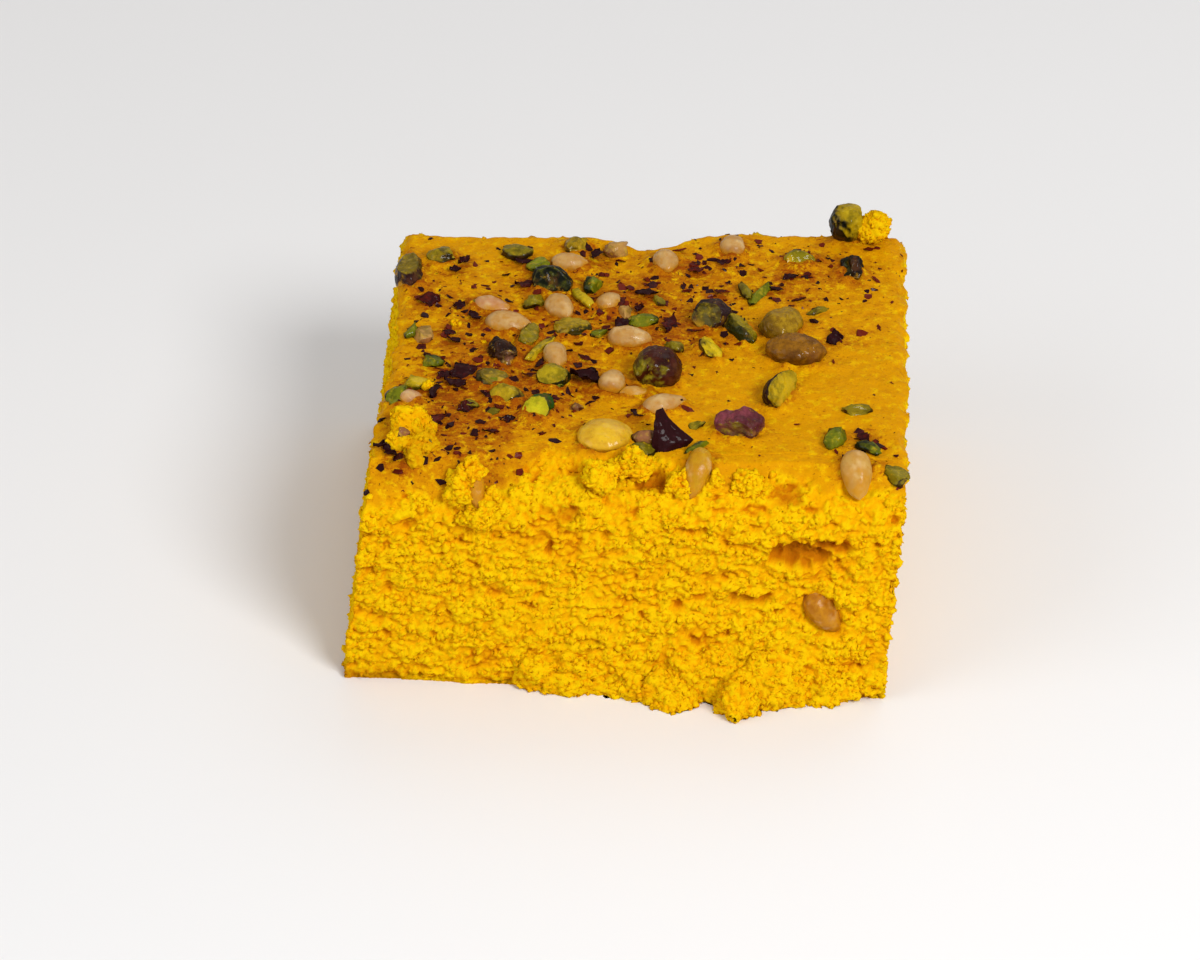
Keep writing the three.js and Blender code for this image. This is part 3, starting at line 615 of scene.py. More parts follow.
def glazed_paint():
    """A nut stained yellow by the cake, with a wet skin, small dark specks and painted shade round its foot."""
    paint = Paint("glazed_nut_finish", Subsurface_Weight=0.3, Subsurface_Scale=0.0015,
                  Subsurface_Radius=(1.0, 0.8, 0.1), Specular_IOR_Level=0.2, Coat_Weight=0.2,
                  Coat_Roughness=0.1)
    cloud = paint.noise(0.004, 5, 0.65)
    color = paint.blend(cloud.ramp(0.35, 0.7), (0.68, 0.41, 0.012), (0.50, 0.24, 0.003))
    specks = paint.noise(0.0007, 3, 0.65).ramp(0.62, 0.72)
    color = paint.blend(specks * 0.6, color, (0.22, 0.10, 0.004))
    # Painted shade round the foot, where the nut meets the crust.
    rim = paint.attribute("low").ramp(0.25, 0.9)
    color = paint.blend(rim * 0.75, color, (0.22, 0.07, 0.002))
    return paint.finish(color, 0.26 + cloud * 0.2, paint.noise(0.0016, 5), 0.0002)


def floor_paint():
    """Pale, even, matt floor."""
    paint = Paint("floor_finish")
    cloud = paint.noise(0.4, 2)
    color = paint.blend(cloud, (0.80, 0.795, 0.80), (0.84, 0.835, 0.84))
    return paint.finish(color, 0.6 + cloud * 0.05)


def link(mesh, name):
    """A new object for a mesh, in the scene."""
    piece = bpy.data.objects.new(name, mesh)
    bpy.context.scene.collection.objects.link(piece)
    return piece


def shade_smooth(mesh):
    mesh.polygons.foreach_set("use_smooth", [True] * len(mesh.polygons))


def set_attribute(mesh, name, values):
    layer = mesh.attributes.get(name) or mesh.attributes.new(name, "FLOAT", "POINT")
    layer.data.foreach_set("value", np.asarray(values, dtype=np.float32))


def read_points(mesh):
    """A mesh's vertices, one row each."""
    values = np.zeros(len(mesh.vertices) * 3, np.float32)
    mesh.vertices.foreach_get("co", values)
    return values.reshape(-1, 3)


def read_normals(mesh):
    """The normals of a mesh's vertices, one row each."""
    values = np.zeros(len(mesh.vertices) * 3, np.float32)
    mesh.vertex_normals.foreach_get("vector", values)
    return values.reshape(-1, 3)


def write_points(mesh, points):
    mesh.vertices.foreach_set("co", np.asarray(points, np.float32).ravel())
    mesh.update()


def set_color(mesh, name, value):
    """One colour for the whole mesh, kept on its points."""
    layer = mesh.attributes.new(name, "FLOAT_COLOR", "POINT")
    layer.data.foreach_set("color", [*value, 1.0] * len(mesh.vertices))


def settle(piece, *nodes, slot=None):
    """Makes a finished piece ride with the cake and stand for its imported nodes."""
    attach(piece, BODY)
    if nodes:
        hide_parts(*nodes)


def evaluated_mesh(piece):
    """The plain mesh that a piece's modifiers give."""
    graph = bpy.context.evaluated_depsgraph_get()
    graph.update()
    return bpy.data.meshes.new_from_object(piece.evaluated_get(graph))


def bake(piece):
    """Turns a piece's modifiers into its mesh."""
    mesh = evaluated_mesh(piece)
    piece.modifiers.clear()
    piece.data = mesh
    return mesh


def crumb_relief(place):
    """Height of the crumb over its mean surface, how open it lies, which sets the painted shade, and the lump's own
    tone.
    """
    warped = place + noise.noise_vector(place / 0.004) * 0.0009
    warped += noise.noise_vector(place / 0.0011) * 0.00035
    warped.z *= 1.1
    height, tone, creased = 0.0, 0.0, 0.0
    for spacing, depth, reach, outline, shade in CRUMB_LUMPS:
        distances, points = noise.voronoi(warped / spacing, distance_metric=outline)
        own = noise.cell(points[0] * 7.31)
        dome = math.sqrt(max(0.0, 1 - (distances[0] / reach) ** 2))
        height += depth * (dome * (0.65 + 0.7 * own) - 0.38)
        tone += (0.5 + 0.5 * own) / len(CRUMB_LUMPS)
        creased += shade * (1 - smoothstep(dome, 0.42, 0.82))
    flat = Vector((place.x, place.y, place.z * 1.4))
    pit = smoothstep(noise.noise(flat / 0.0034), 0.36, 0.62)
    band = smoothstep(noise.noise(Vector((place.x, place.y, place.z * 1.4)) / 0.0085), 0.10, 0.50)
    # Creases, pits and bands lie less open, which paints shade there.
    opened = 0.70 + height / 0.0021 - pit * 0.42 - band * 0.30 - creased
    return height - pit * 0.0010 - band * 0.0003, clamp(opened, -1.0, 1.5), tone


def front_edge(x, z, height):
    """How far forward the torn front stands: upright, then rounded back to the crust."""
    rise = clamp((z - height + FRONT_SHOULDER) / FRONT_SHOULDER)
    ragged = noise.noise(Vector((x / 0.009, 2.3, z / 0.03))) * 0.0024 * rise
    belly = 0.0026 * smoothstep(x, -0.05, 0.008) * (1 - smoothstep(z, 0.0, 0.026))
    return mix(FRONT_FOOT, FRONT_TOP, rise ** 2) - belly + ragged


def back_edge(x, z, height):
    """How far back the block reaches, with a bite out of the top edge."""
    up = clamp(z / height)
    notch = BACK_NOTCH * math.exp(-(((x - 0.004) / 0.006) ** 2)) * smoothstep(up, 0.6, 1.0)
    corner = BACK_CORNER * smoothstep(x, 0.008, 0.022) * up
    return mix(BACK_FOOT, BACK_TOP, up) - notch + corner


def block_point(across, deep, z, height):
    """A point of the block's outline: across and deep run from -1 to 1."""
    up = clamp(z / height)
    waist = LEFT_WAIST * math.exp(-((deep / 0.4) ** 2)) * up
    low, high = mix(LEFT_FOOT, LEFT_TOP, up) + waist, mix(RIGHT_FOOT, RIGHT_TOP, up)
    x = mix(low, high, (across + 1) / 2)
    y = mix(front_edge(x, z, height), back_edge(x, z, height), (deep + 1) / 2)
    return Vector((x, y, z))


def box_grid(columns, rows, layers, whole=()):
    """Points, as shares of each side, and faces of a box grid. A whole side is one face."""
    points, faces, index = [], [], {}

    def vertex(column, row, layer):
        key = (column, row, layer)
        if key not in index:
            index[key] = len(points)
            points.append((column / columns, row / rows, layer / layers))
        return index[key]

    def patch(side, first, second, corner):
        if side in whole:
            ring = [(a, 0) for a in range(first)] + [(first, b) for b in range(second)]
            ring += [(first - a, second) for a in range(first)]
            ring += [(0, second - b) for b in range(second)]
            faces.append([vertex(*corner(*at)) for at in ring])
            return
        for a in range(first):
            for b in range(second):
                square = ((a, b), (a + 1, b), (a + 1, b + 1), (a, b + 1))
                faces.append([vertex(*corner(*at)) for at in square])

    patch("front", columns, layers, lambda a, b: (a, 0, b))
    patch("back", layers, columns, lambda a, b: (b, rows, a))
    patch("left", layers, rows, lambda a, b: (0, b, a))
    patch("right", rows, layers, lambda a, b: (columns, a, b))
    patch("top", columns, rows, lambda a, b: (a, b, layers))
    patch("bottom", rows, columns, lambda a, b: (b, a, 0))
    return points, faces


def hollow_depth(x, z):
    """Depth of the tears in the front at a place across and up."""
    depth = 0.0
    for across, up, width, tall, deep in HOLLOWS:
        ragged = noise.noise(Vector((x, 7.0, z)) / 0.0034) * 0.55
        ragged += noise.noise(Vector((x, 3.0, z)) / 0.0013) * 0.3
        reach = math.hypot((x - across) / (width / 2), (z - up) / (tall / 2)) + ragged
        depth = max(depth, deep * (1 - smoothstep(reach, 0.25, 1.15)))
    return depth


def nut_tree(names):
    """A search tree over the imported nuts, in the block's axes."""
    points, faces = [], []
    for name in names:
        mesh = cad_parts[name].data
        start = len(points)
        points.extend(vertex.co - BLOCK_AT for vertex in mesh.vertices)
        faces.extend([start + place for place in face.vertices] for face in mesh.polygons)
    return BVHTree.FromPolygons(points, faces)


def flake_density(x, y):
    """How thick small flakes lie at a place on the crust, from 0 to 1."""
    drift = sum(
        share * math.exp(-((x - across) ** 2 + (y - deep) ** 2) / reach ** 2)
        for across, deep, reach, share in FLAKE_DRIFTS)
    return clamp(0.03 + 0.9 * drift)


def petal_stain(x, y):
    """How much a pressed petal has stained the crust at a place, from 0 to 1."""
    near = min(math.hypot(x - row[0], y - row[1]) / row[3] for row in PETALS)
    return math.exp(-near ** 2)


def crust_share(place, up, deep, height):
    """How far a place belongs to the crust, which ends in a ragged line over the torn front."""
    fine = noise.noise(place / 0.0020) * 0.0013
    coarse = noise.noise(Vector((place.x / 0.0065, 4.1, place.z / 0.012))) * 0.0034
    if up == 1 or deep < -0.9999:
        left = 1 - smoothstep(place.x, -0.026, -0.010)
        right = smoothstep(place.x, 0.006, 0.020)
        over = mix(-0.0022, 0.0052, left) + 0.0042 * right
        inside = place.y - front_edge(place.x, height, height) if up == 1 else place.z - height
        share = smoothstep(inside + over + fine + coarse, -0.0005, 0.0008)
        if up == 1:
            side = min(RIGHT_TOP - place.x, place.x - LEFT_TOP, back_edge(place.x, height, height) - place.y)
            share *= smoothstep(side + fine + 0.4 * coarse, -0.0006, 0.0008)
        return share
    share = smoothstep(place.z + fine, height - 0.0006, height + 0.0003)
    return share * smoothstep(deep, -0.999, -0.94)


def seam_dip(deep, slab):
    """How far a piece sinks under its neighbour beyond the seam of slab and block."""
    beyond = deep - SEAM if slab else SEAM - deep
    return 0.0006 * smoothstep(beyond, 0.0, 0.012)


def make_block(sizes, name, material, slab):
    """The fine slab with the torn front, or the rest of the block behind it."""
    height = sizes.height
    grid = sizes.fine_grid if slab else sizes.grid
    start, end = (-1.0, SLAB_BACK) if slab else (BLOCK_FRONT, 1.0)
    columns = round((RIGHT_FOOT - LEFT_FOOT) / grid)
    rows = max(12, round((BACK_FOOT - FRONT_FOOT) * (end - start) / 2 / (grid * 1.1)))
    layers = round(height / (grid if slab else grid * 0.72))
    hidden = "back" if slab else "front"
    shares, faces = box_grid(columns, rows, layers, whole=("bottom", hidden))
    spots = [(across * 2 - 1, mix(start, end, deep), up) for across, deep, up in shares]
    flat = [block_point(across, deep, up * height, height) for across, deep, up in spots]
    mesh = bpy.data.meshes.new(name)
    mesh.from_pydata(flat, [], faces)
    mesh.update()
    normals = [Vector(normal) for normal in read_normals(mesh)]
    nuts = nut_tree([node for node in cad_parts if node.startswith(("pis", "pine", "gla"))])
    columns = {key: [] for key in ("lift", "crust", "stain", "tone", "crumbs", "flakes")}
    out = []
    for place, (across, deep, up), normal in zip(flat, spots, normals):
        on_top = up == 1
        torn = deep < -0.9999
        crust = crust_share(place, up, deep, height)
        found, _, _, distance = nuts.find_nearest(place, 0.006)
        distance = 0.006 if found is None else distance
        near_nut = 1 - smoothstep(distance, 0.0003, 0.0018)
        relief, opened, tone = crumb_relief(place)
        share = sizes.relief if torn or on_top else sizes.cut_relief
        lift = relief * share * (1 - (0.4 if torn else 0.75) * near_nut)
        hollow = hollow_depth(place.x, place.z) if torn else 0.0
        if torn:
            lift -= hollow + 0.0007 * near_nut
            # Painted shade in the tears and round the nuts of the torn front.
            opened -= hollow / 0.0026 + 0.25 * near_nut
            undercut = 0.0010 + noise.noise(Vector((place.x / 0.008, 0.0, 5.0))) * 0.0016
            lift -= max(0.0, undercut) * (1 - smoothstep(place.z, 0.0, 0.0022))
        if up == 0:
            lift *= 0.5
        jagged = noise.noise_vector(place / 0.0014) * 0.0003 * (up > 0)
        point = place + (normal * lift + jagged) * (1 - crust)
        if crust > 0:
            swell = noise.noise(place / 0.017) * sizes.swell * 1.8
            ripple = noise.noise(place / 0.0028) * 0.00026 + noise.noise(place / 0.0012) * 0.00016
            climb = 0.6 + 0.8 * noise.noise(place / 0.0021)
            collar = 0.0013 * max(0.0, climb) * math.exp(-((distance / 0.0014) ** 2))
            point.z += (swell + ripple + collar) * crust
        rim = smoothstep(max(abs(across), deep), 0.955, 1.0) * smoothstep(up, 0.93, 1.0)
        point += noise.noise_vector(place / 0.0048) * 0.0009 * rim
        point += noise.noise_vector(place / 0.0015) * 0.0005 * rim
        worn = 0.0010 * smoothstep(max(abs(across), abs(deep)), 0.965, 1.0)
        point.z -= (worn + 0.0005 * (1 - crust)) * smoothstep(up, 0.90, 1.0)
        point -= normal * seam_dip(deep, slab)
        point.z = 0.0 if up == 0 else max(point.z, 0.00002)
        out.append(point + BLOCK_AT)
        flakes = flake_density(place.x, place.y) if on_top or crust > 0.5 else 0.0
        baked = 0.8 * smoothstep(0.0035 - place.z, 0.0, 0.003) * smoothstep(-place.x, 0.034, 0.046)
        # Partly real stain from petals, flakes and the baked foot, darker round the nuts, and painted shade in the
        # tears.
        stain = 0.5 * petal_stain(place.x, place.y) + 0.6 * math.exp(-distance / 0.0014)
        # Lift sets the crumb's painted light and shade; the top rim is painted lighter.
        columns["lift"].append(opened + 0.45 * rim)
        columns["crust"].append(crust)
        columns["stain"].append(clamp((stain + 0.6 * flakes) * crust * (1 - 0.7 * rim) + baked + 0.8 * hollow / 0.0026))
        columns["tone"].append(tone)
        inner = deep < SEAM if slab else deep > SEAM
        bare = (1 - crust) * inner * (up > 0.02)
        clear = smoothstep(distance, 0.0008, 0.0024)
        dusted = 0.02 * crust * smoothstep(noise.noise(place / 0.008), 0.0, 0.4) * on_top * inner
        columns["crumbs"].append(clear * (bare * smoothstep(opened, 0.15, 0.85) + dusted))
        columns["flakes"].append(
            crust * inner * flakes * (1 - rim) * smoothstep(distance, 0.0, 0.0008))
    write_points(mesh, np.clip(out, *packed_box))
    for key, values in columns.items():
        set_attribute(mesh, key, values)
    paint_underside_shade(mesh)
    mesh.materials.append(material)
    shade_smooth(mesh)
    return link(mesh, name)


def lump_mesh(bm, centre, size, turn, levels):
    """Adds one lump of crumb to a mesh under construction."""
    made = bmesh.ops.create_icosphere(bm, subdivisions=levels, radius=0.5)["verts"]
    turned = Matrix.Rotation(math.radians(turn), 3, "Z")
    for vertex in made:
        outward = vertex.co.normalized()
        place = turned @ Vector(a * b for a, b in zip(vertex.co, size)) + Vector(centre)
        place += (turned @ outward) * noise.noise(place / 0.003) * 0.0012
        place += (turned @ outward) * noise.noise(place / 0.0062) * 0.0018
        vertex.co = place + BLOCK_AT


def lump_group(name, lumps, levels):
    """One mesh of several lumps of crumb."""
    bm = bmesh.new()
    for centre, size, turn in lumps:
        lump_mesh(bm, centre, size, turn, levels)
    mesh = bpy.data.meshes.new(name)
    bm.to_mesh(mesh)
    bm.free()
    return mesh


def finish_crumb(mesh, material):
    """Gives a crumb mesh the block's material and the attributes that it reads."""
    count = len(mesh.vertices)
    for name, usual in (("lift", 0.66), ("crust", 0.0), ("stain", 0.0), ("tone", 0.5)):
        if name not in mesh.attributes:
            set_attribute(mesh, name, [usual] * count)
    low, high = packed_box
    write_points(mesh, np.clip(read_points(mesh), low, high))
    mesh.materials.clear()
    mesh.materials.append(material)
    shade_smooth(mesh)


def shade_by_height(mesh, ground):
    """Paints shade on crumbs where they sink into the ground, in the recess colour, and light on their tops."""
    tree = BVHTree.FromPolygons([vertex.co for vertex in ground.vertices],
                                [tuple(face.vertices) for face in ground.polygons])
    lifts = []
    for vertex in mesh.vertices:
        nearest, normal, _, _ = tree.find_nearest(vertex.co)
        above = (vertex.co - nearest).dot(normal)
        lifts.append(mix(0.05, 0.84, smoothstep(above, -0.0001, 0.00045)))
    set_attribute(mesh, "lift", lifts)


def paint_underside_shade(mesh):
    """Paints shade on the faces that look down, bringing them closer to the recess colour, as light from above leaves
    them.
    """
    lifts = np.zeros(len(mesh.vertices), np.float32)
    mesh.attributes["lift"].data.foreach_get("value", lifts)
    down = np.clip(0.15 - read_normals(mesh)[:, 2], 0.0, 1.0)
    set_attribute(mesh, "lift", lifts - 0.55 * down)


def roughen(mesh, share):
    """Gives a smooth lump the crumb's relief and the painted shade of its creases."""
    points, normals = read_points(mesh), read_normals(mesh)
    reliefs = [crumb_relief(Vector(point) * 1.1) for point in points]
    heights = np.array([height for height, _, _ in reliefs])
    points += normals * heights[:, None] * share
    points[:, 2] = np.maximum(points[:, 2], 0.00005)
    write_points(mesh, points)
    set_attribute(mesh, "lift", [opened for _, opened, _ in reliefs])
    if "tone" in mesh.attributes:
        mesh.attributes.remove(mesh.attributes["tone"])
    set_attribute(mesh, "tone", [tone for _, _, tone in reliefs])


def scatter_tree(name, sides, flat):
    """A Geometry Nodes tree that scatters uneven bits over a surface."""
    tree = bpy.data.node_groups.new(name, "GeometryNodeTree")
    face = tree.interface
    face.new_socket("Geometry", in_out="INPUT", socket_type="NodeSocketGeometry")
    for label, kind, value in (
            ("Density", "NodeSocketFloat", 1e5), ("Smallest", "NodeSocketFloat", 0.0006),
            ("Largest", "NodeSocketFloat", 0.0024), ("Unevenness", "NodeSocketFloat", 0.3),
            ("Sink", "NodeSocketFloat", 0.3), ("Seed", "NodeSocketInt", 0),
            ("Material", "NodeSocketMaterial", None)):
        socket = face.new_socket(label, in_out="INPUT", socket_type=kind)
        if value is not None:
            socket.default_value = value
    face.new_socket("Geometry", in_out="OUTPUT", socket_type="NodeSocketGeometry")

    def add(kind, settings=None, **sockets):
        node = tree.nodes.new(kind)
        for key, value in (settings or {}).items():
            setattr(node, key, value)
        for key, value in sockets.items():
            socket = node.inputs[int(key[1:])] if key[1:].isdigit() else node.inputs[key.replace("_", " ")]
            if isinstance(value, bpy.types.NodeSocket):
                tree.links.new(value, socket)
            else:
                socket.default_value = value
        return node

    def times(first, second):
        return add("ShaderNodeMath", {"operation": "MULTIPLY"}, _0=first, _1=second).outputs[0]

    given = add("NodeGroupInput").outputs
    weight = add("GeometryNodeInputNamedAttribute", {"data_type": "FLOAT"}, Name=sides)
    density = times(given["Density"], weight.outputs["Attribute"])
    points = add("GeometryNodeDistributePointsOnFaces", {}, Mesh=given["Geometry"],
                 Density=density, Seed=given["Seed"])
    draw = add("FunctionNodeRandomValue", {"data_type": "FLOAT"}, _2=0.0, _3=1.0,
               Seed=given["Seed"]).outputs[1]
    small = add("ShaderNodeMath", {"operation": "POWER"}, _0=draw, _1=2.2).outputs[0]
    width = add("ShaderNodeMapRange", {}, Value=small, To_Min=given["Smallest"],
                To_Max=given["Largest"]).outputs["Result"]
    if flat:
        bit = add("GeometryNodeMeshCylinder", {}, Vertices=5, Radius=0.5, Depth=0.14)
        spin = add("FunctionNodeRandomValue", {"data_type": "FLOAT_VECTOR"},
                   _0=(-0.35, -0.35, 0.0), _1=(0.35, 0.35, math.tau), Seed=11).outputs[0]
        turn = add("FunctionNodeRotateRotation", {"rotation_space": "LOCAL"},
                   Rotation=points.outputs["Rotation"], Rotate_By=spin).outputs[0]
        shape = add("FunctionNodeRandomValue", {"data_type": "FLOAT_VECTOR"},
                    _0=(0.7, 0.35, 0.8), _1=(1.3, 1.0, 1.3), Seed=12).outputs[0]
        base = bit.outputs["Mesh"]
    else:
        base = add("GeometryNodeMeshIcoSphere", {}, Radius=0.5, Subdivisions=1).outputs["Mesh"]
        turn = add("FunctionNodeRandomValue", {"data_type": "FLOAT_VECTOR"},
                   _0=(0.0, 0.0, 0.0), _1=(math.tau, math.tau, math.tau), Seed=13).outputs[0]
        shape = add("FunctionNodeRandomValue", {"data_type": "FLOAT_VECTOR"},
                    _0=(0.75, 0.65, 0.6), _1=(1.25, 1.0, 1.0), Seed=14).outputs[0]
    scale = add("ShaderNodeVectorMath", {"operation": "SCALE"}, _0=shape, Scale=width).outputs[0]
    sunk = times(times(width, given["Sink"]), -1.0)
    drop = add("ShaderNodeVectorMath", {"operation": "SCALE"}, _0=points.outputs["Normal"],
               Scale=sunk).outputs[0]
    moved = add("GeometryNodeSetPosition", {}, Geometry=points.outputs["Points"], Offset=drop)
    placed = add("GeometryNodeInstanceOnPoints", {}, Points=moved.outputs[0], Instance=base,
                 Rotation=turn, Scale=scale)
    tone = add("FunctionNodeRandomValue", {"data_type": "FLOAT"}, _2=0.0, _3=1.0, Seed=15)
    toned = add("GeometryNodeStoreNamedAttribute", {"data_type": "FLOAT", "domain": "INSTANCE"},
                Geometry=placed.outputs[0], Name="tone", Value=tone.outputs[1])
    real = add("GeometryNodeRealizeInstances", {}, Geometry=toned.outputs[0])
    where = add("GeometryNodeInputPosition").outputs[0]
    grain = add("ShaderNodeTexNoise", {}, Vector=where, Scale=1 / 0.0007, Detail=2.0)
    centred = add("ShaderNodeVectorMath", {"operation": "SUBTRACT"},
                  _0=grain.outputs["Color"], _1=(0.5, 0.5, 0.5)).outputs[0]
    push = add("ShaderNodeVectorMath", {"operation": "SCALE"}, _0=centred,
               Scale=times(given["Unevenness"], 0.004)).outputs[0]
    rough = add("GeometryNodeSetPosition", {}, Geometry=real.outputs[0], Offset=push)
    made = add("GeometryNodeSetMaterial", {}, Geometry=rough.outputs[0],
               Material=given["Material"])
    add("NodeGroupOutput", {}, _0=made.outputs[0])
    return tree


def scatter(name, ground, tree, **inputs):
    """A plain mesh of the bits that a tree scatters over a piece."""
    piece = link(ground.data.copy(), name)
    modifier = piece.modifiers.new("scatter", "NODES")
    modifier.node_group = tree
    places = {item.name: item.identifier for item in tree.interface.items_tree
              if item.in_out == "INPUT"}
    for label, value in inputs.items():
        modifier[places[label]] = value
    mesh = bake(piece)
    mesh.name = name
    return piece


def nut_axes(points):
    """Centre and long, middle and short axes of a nut, with its half length."""
    centre = points.mean(axis=0)
    _, vectors = np.linalg.eigh(np.cov((points - centre).T))
    axes = vectors[:, ::-1]
    return centre, axes, np.abs((points - centre) @ axes[:, 0]).max()


def cut_planes(bm, share=0.07):
    """Normals and offsets of the large flat faces that a knife left on a kernel."""
    area = sum(face.calc_area() for face in bm.faces)
    groups = []
    for face in bm.faces:
        for group in groups:
            if group[0].dot(face.normal) > 0.9995:
                group[2] += face.calc_area()
                break
        else:
            groups.append([face.normal.copy(), face.normal.dot(face.verts[0].co), face.calc_area()])
    return [(normal, offset) for normal, offset, size in groups if size > share * area]


def dress_nut(name, material, slot, levels=3, growth=1.045, relief=0.00012, wrinkle=0.0,
              soaked=1.0, shift=(0.0, 0.0, 0.0)):
    """A smooth, detailed copy of a packed nut in its place."""
    bm = bmesh.new()
    bm.from_mesh(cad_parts[name].data)
    bmesh.ops.remove_doubles(bm, verts=bm.verts, dist=1e-6)
    bmesh.ops.recalc_face_normals(bm, faces=bm.faces)
    planes = cut_planes(bm)
    crease = bm.edges.layers.float.new("crease_edge")
    for edge in bm.edges:
        if edge.calc_face_angle(0.0) > math.radians(38):
            edge[crease] = 0.55
    mesh = bpy.data.meshes.new(f"{name}_dressed")
    bm.to_mesh(mesh)
    bm.free()
    piece = link(mesh, f"{name}_dressed")
    smooth = piece.modifiers.new("smooth", "SUBSURF")
    smooth.levels = smooth.render_levels = levels
    mesh = bake(piece)
    points, normals = read_points(mesh), read_normals(mesh)
    centre, axes, half = nut_axes(points)
    middle = Vector(centre)
    cut, low, out = [], [], []
    inner = (points - centre) @ axes
    for point, local in zip(points, inner):
        place = Vector(point)
        ridge = noise.noise(Vector((local[0] / 0.006, local[1] / 0.0011, local[2] / 0.0011)))
        lump = noise.noise(place / 0.0021) + 0.4 * noise.noise(place / 0.0008)
        cut.append(max((clamp(1 - abs(n.dot(place) - d) / 0.0005) for n, d in planes), default=0.0))
        low.append(soaked * (1 - smoothstep(place.z, 0.0458, 0.0486)))
        out.append(lump * relief - abs(ridge) * wrinkle)
    along = inner[:, 0] / half
    core = np.linalg.norm(inner / np.abs(inner).max(axis=0), axis=1)
    moved = centre + np.array(shift) + (points - centre) * growth
    write_points(mesh, np.clip(moved + normals * np.array(out)[:, None], *packed_box))
    set_attribute(mesh, "cut", cut)
    set_attribute(mesh, "along", along)
    set_attribute(mesh, "low", low)
    set_attribute(mesh, "core", core)
    set_attribute(mesh, "tone", [noise.cell(middle * 997)] * len(points))
    mesh.materials.clear()
    mesh.materials.append(material)
    shade_smooth(mesh)
    settle(piece, name, slot=slot)
    return piece


def color_kernel(mesh, skin, flesh, bare, side):
    """Gives a kernel its own skin and flesh, with the skin kept on one side and dark skin painted on the flanks and
    undersides as shade.
    """
    set_color(mesh, "skin", linear(skin))
    set_color(mesh, "flesh", linear(flesh))
    normals = read_normals(mesh)
    # Painted shade: dark skin on the flanks and undersides.
    flank_shade = np.clip(0.60 - normals[:, 2], 0.0, 1.0) * 0.75
    set_attribute(mesh, "bare", bare - normals @ np.array(side) * 0.75 - flank_shade)


def chip_bmesh(size, draw):
    """A chopped fragment: a ball pressed flat against a few random planes."""
    bm = bmesh.new()
    bmesh.ops.create_icosphere(bm, subdivisions=3, radius=0.5)
    planes = []
    for _ in range(6):
        direction = Vector(draw.gauss(0, 1) for _ in range(3)).normalized()
        planes.append((direction, draw.uniform(0.24, 0.38)))
    cut = bm.verts.layers.float.new("cut")
    for vertex in bm.verts:
        for direction, reach in planes:
            beyond = vertex.co.dot(direction) - reach
            if beyond > 0:
                vertex.co -= direction * beyond
                vertex[cut] = 1.0
        vertex.co += vertex.co * noise.noise(vertex.co * 7 + planes[0][0] * 9) * 0.25
        vertex.co = Vector(a * b * 1.25 for a, b in zip(vertex.co, size))
    return bm


def petal_bmesh(length, width, draw, thick=0.00022):
    """A curled scrap of petal: a bent sheet with a torn outline and two faces."""
    bm = bmesh.new()
    across, down = 10, 14
    bend, curl, twist = draw.uniform(-0.2, 0.5), draw.uniform(-0.5, 0.6), draw.uniform(-0.7, 0.7)
    start = draw.uniform(0, 90)
    tone = draw.uniform(0.0, 0.6)
    layer = bm.verts.layers.float.new("tone")
    sides = []
    for side in (1, -1):
        rows = []
        for a in range(down + 1):
            u = a / down * 2 - 1
            taper = max(0.0, 1 - abs(u) ** 1.6) ** 0.8
            ragged = 1 + 0.6 * noise.noise(Vector((u * 2.6, start, 3.0)))
            shift = 0.6 * noise.noise(Vector((u * 1.9, start, 8.0)))
            row = []
            for b in range(across + 1):
                v = b / across * 2 - 1
                fray = 1 + 0.25 * noise.noise(Vector((u * 6, v * 3, start)))
                x = u * length / 2 * (1 + 0.12 * noise.noise(Vector((v * 3, start, 1.0))))
                y = (v * ragged + shift) * taper * width / 2 * fray
                z = width * (bend * v * v + 0.6 * twist * u * v + 0.7 * curl * u * u)
                z += width * 0.22 * noise.noise(Vector((u * 3, v * 3, start)))
                rim = (1 - v * v) ** 0.5 * taper
                vertex = bm.verts.new((x, y, z * 0.55 + side * thick * 0.5 * rim))
                vertex[layer] = tone
                row.append(vertex)
            rows.append(row)
        sides.append(rows)
    for turned, rows in enumerate(sides):
        for a in range(down):
            for b in range(across):
                square = [rows[a][b], rows[a + 1][b], rows[a + 1][b + 1], rows[a][b + 1]]
                bm.faces.new(square[::-1] if turned else square)
    bmesh.ops.remove_doubles(bm, verts=bm.verts, dist=2e-6)
    bmesh.ops.dissolve_degenerate(bm, edges=bm.edges, dist=1e-6)
    bmesh.ops.recalc_face_normals(bm, faces=bm.faces)
    return bm


def add_placed(target, source, place):
    """Adds a small mesh to a larger one at a place, and frees the small one."""
    source.transform(place)
    mesh = bpy.data.meshes.new("bit")
    source.to_mesh(mesh)
    source.free()
    target.from_mesh(mesh)
    bpy.data.meshes.remove(mesh)


def spot(x, y, rise, turn, tilt, height):
    """The place of a topping over the crust."""
    at = Vector((x, y, height + rise)) + BLOCK_AT
    return Matrix.LocRotScale(at, Matrix.Rotation(math.radians(turn), 3, "Z").to_quaternion()
                              @ Matrix.Rotation(math.radians(tilt), 3, "X").to_quaternion(), None)


def paints(context):
    """Every material of the cake, made once."""
    if "cake_finish" not in bpy.data.materials:
        crumb_paint(context.scene.cake_colors)
        petal_paint(context.scene.cake_colors)
        pistachio_paint()
        pine_nut_paint()
        glazed_paint()
    return bpy.data.materials


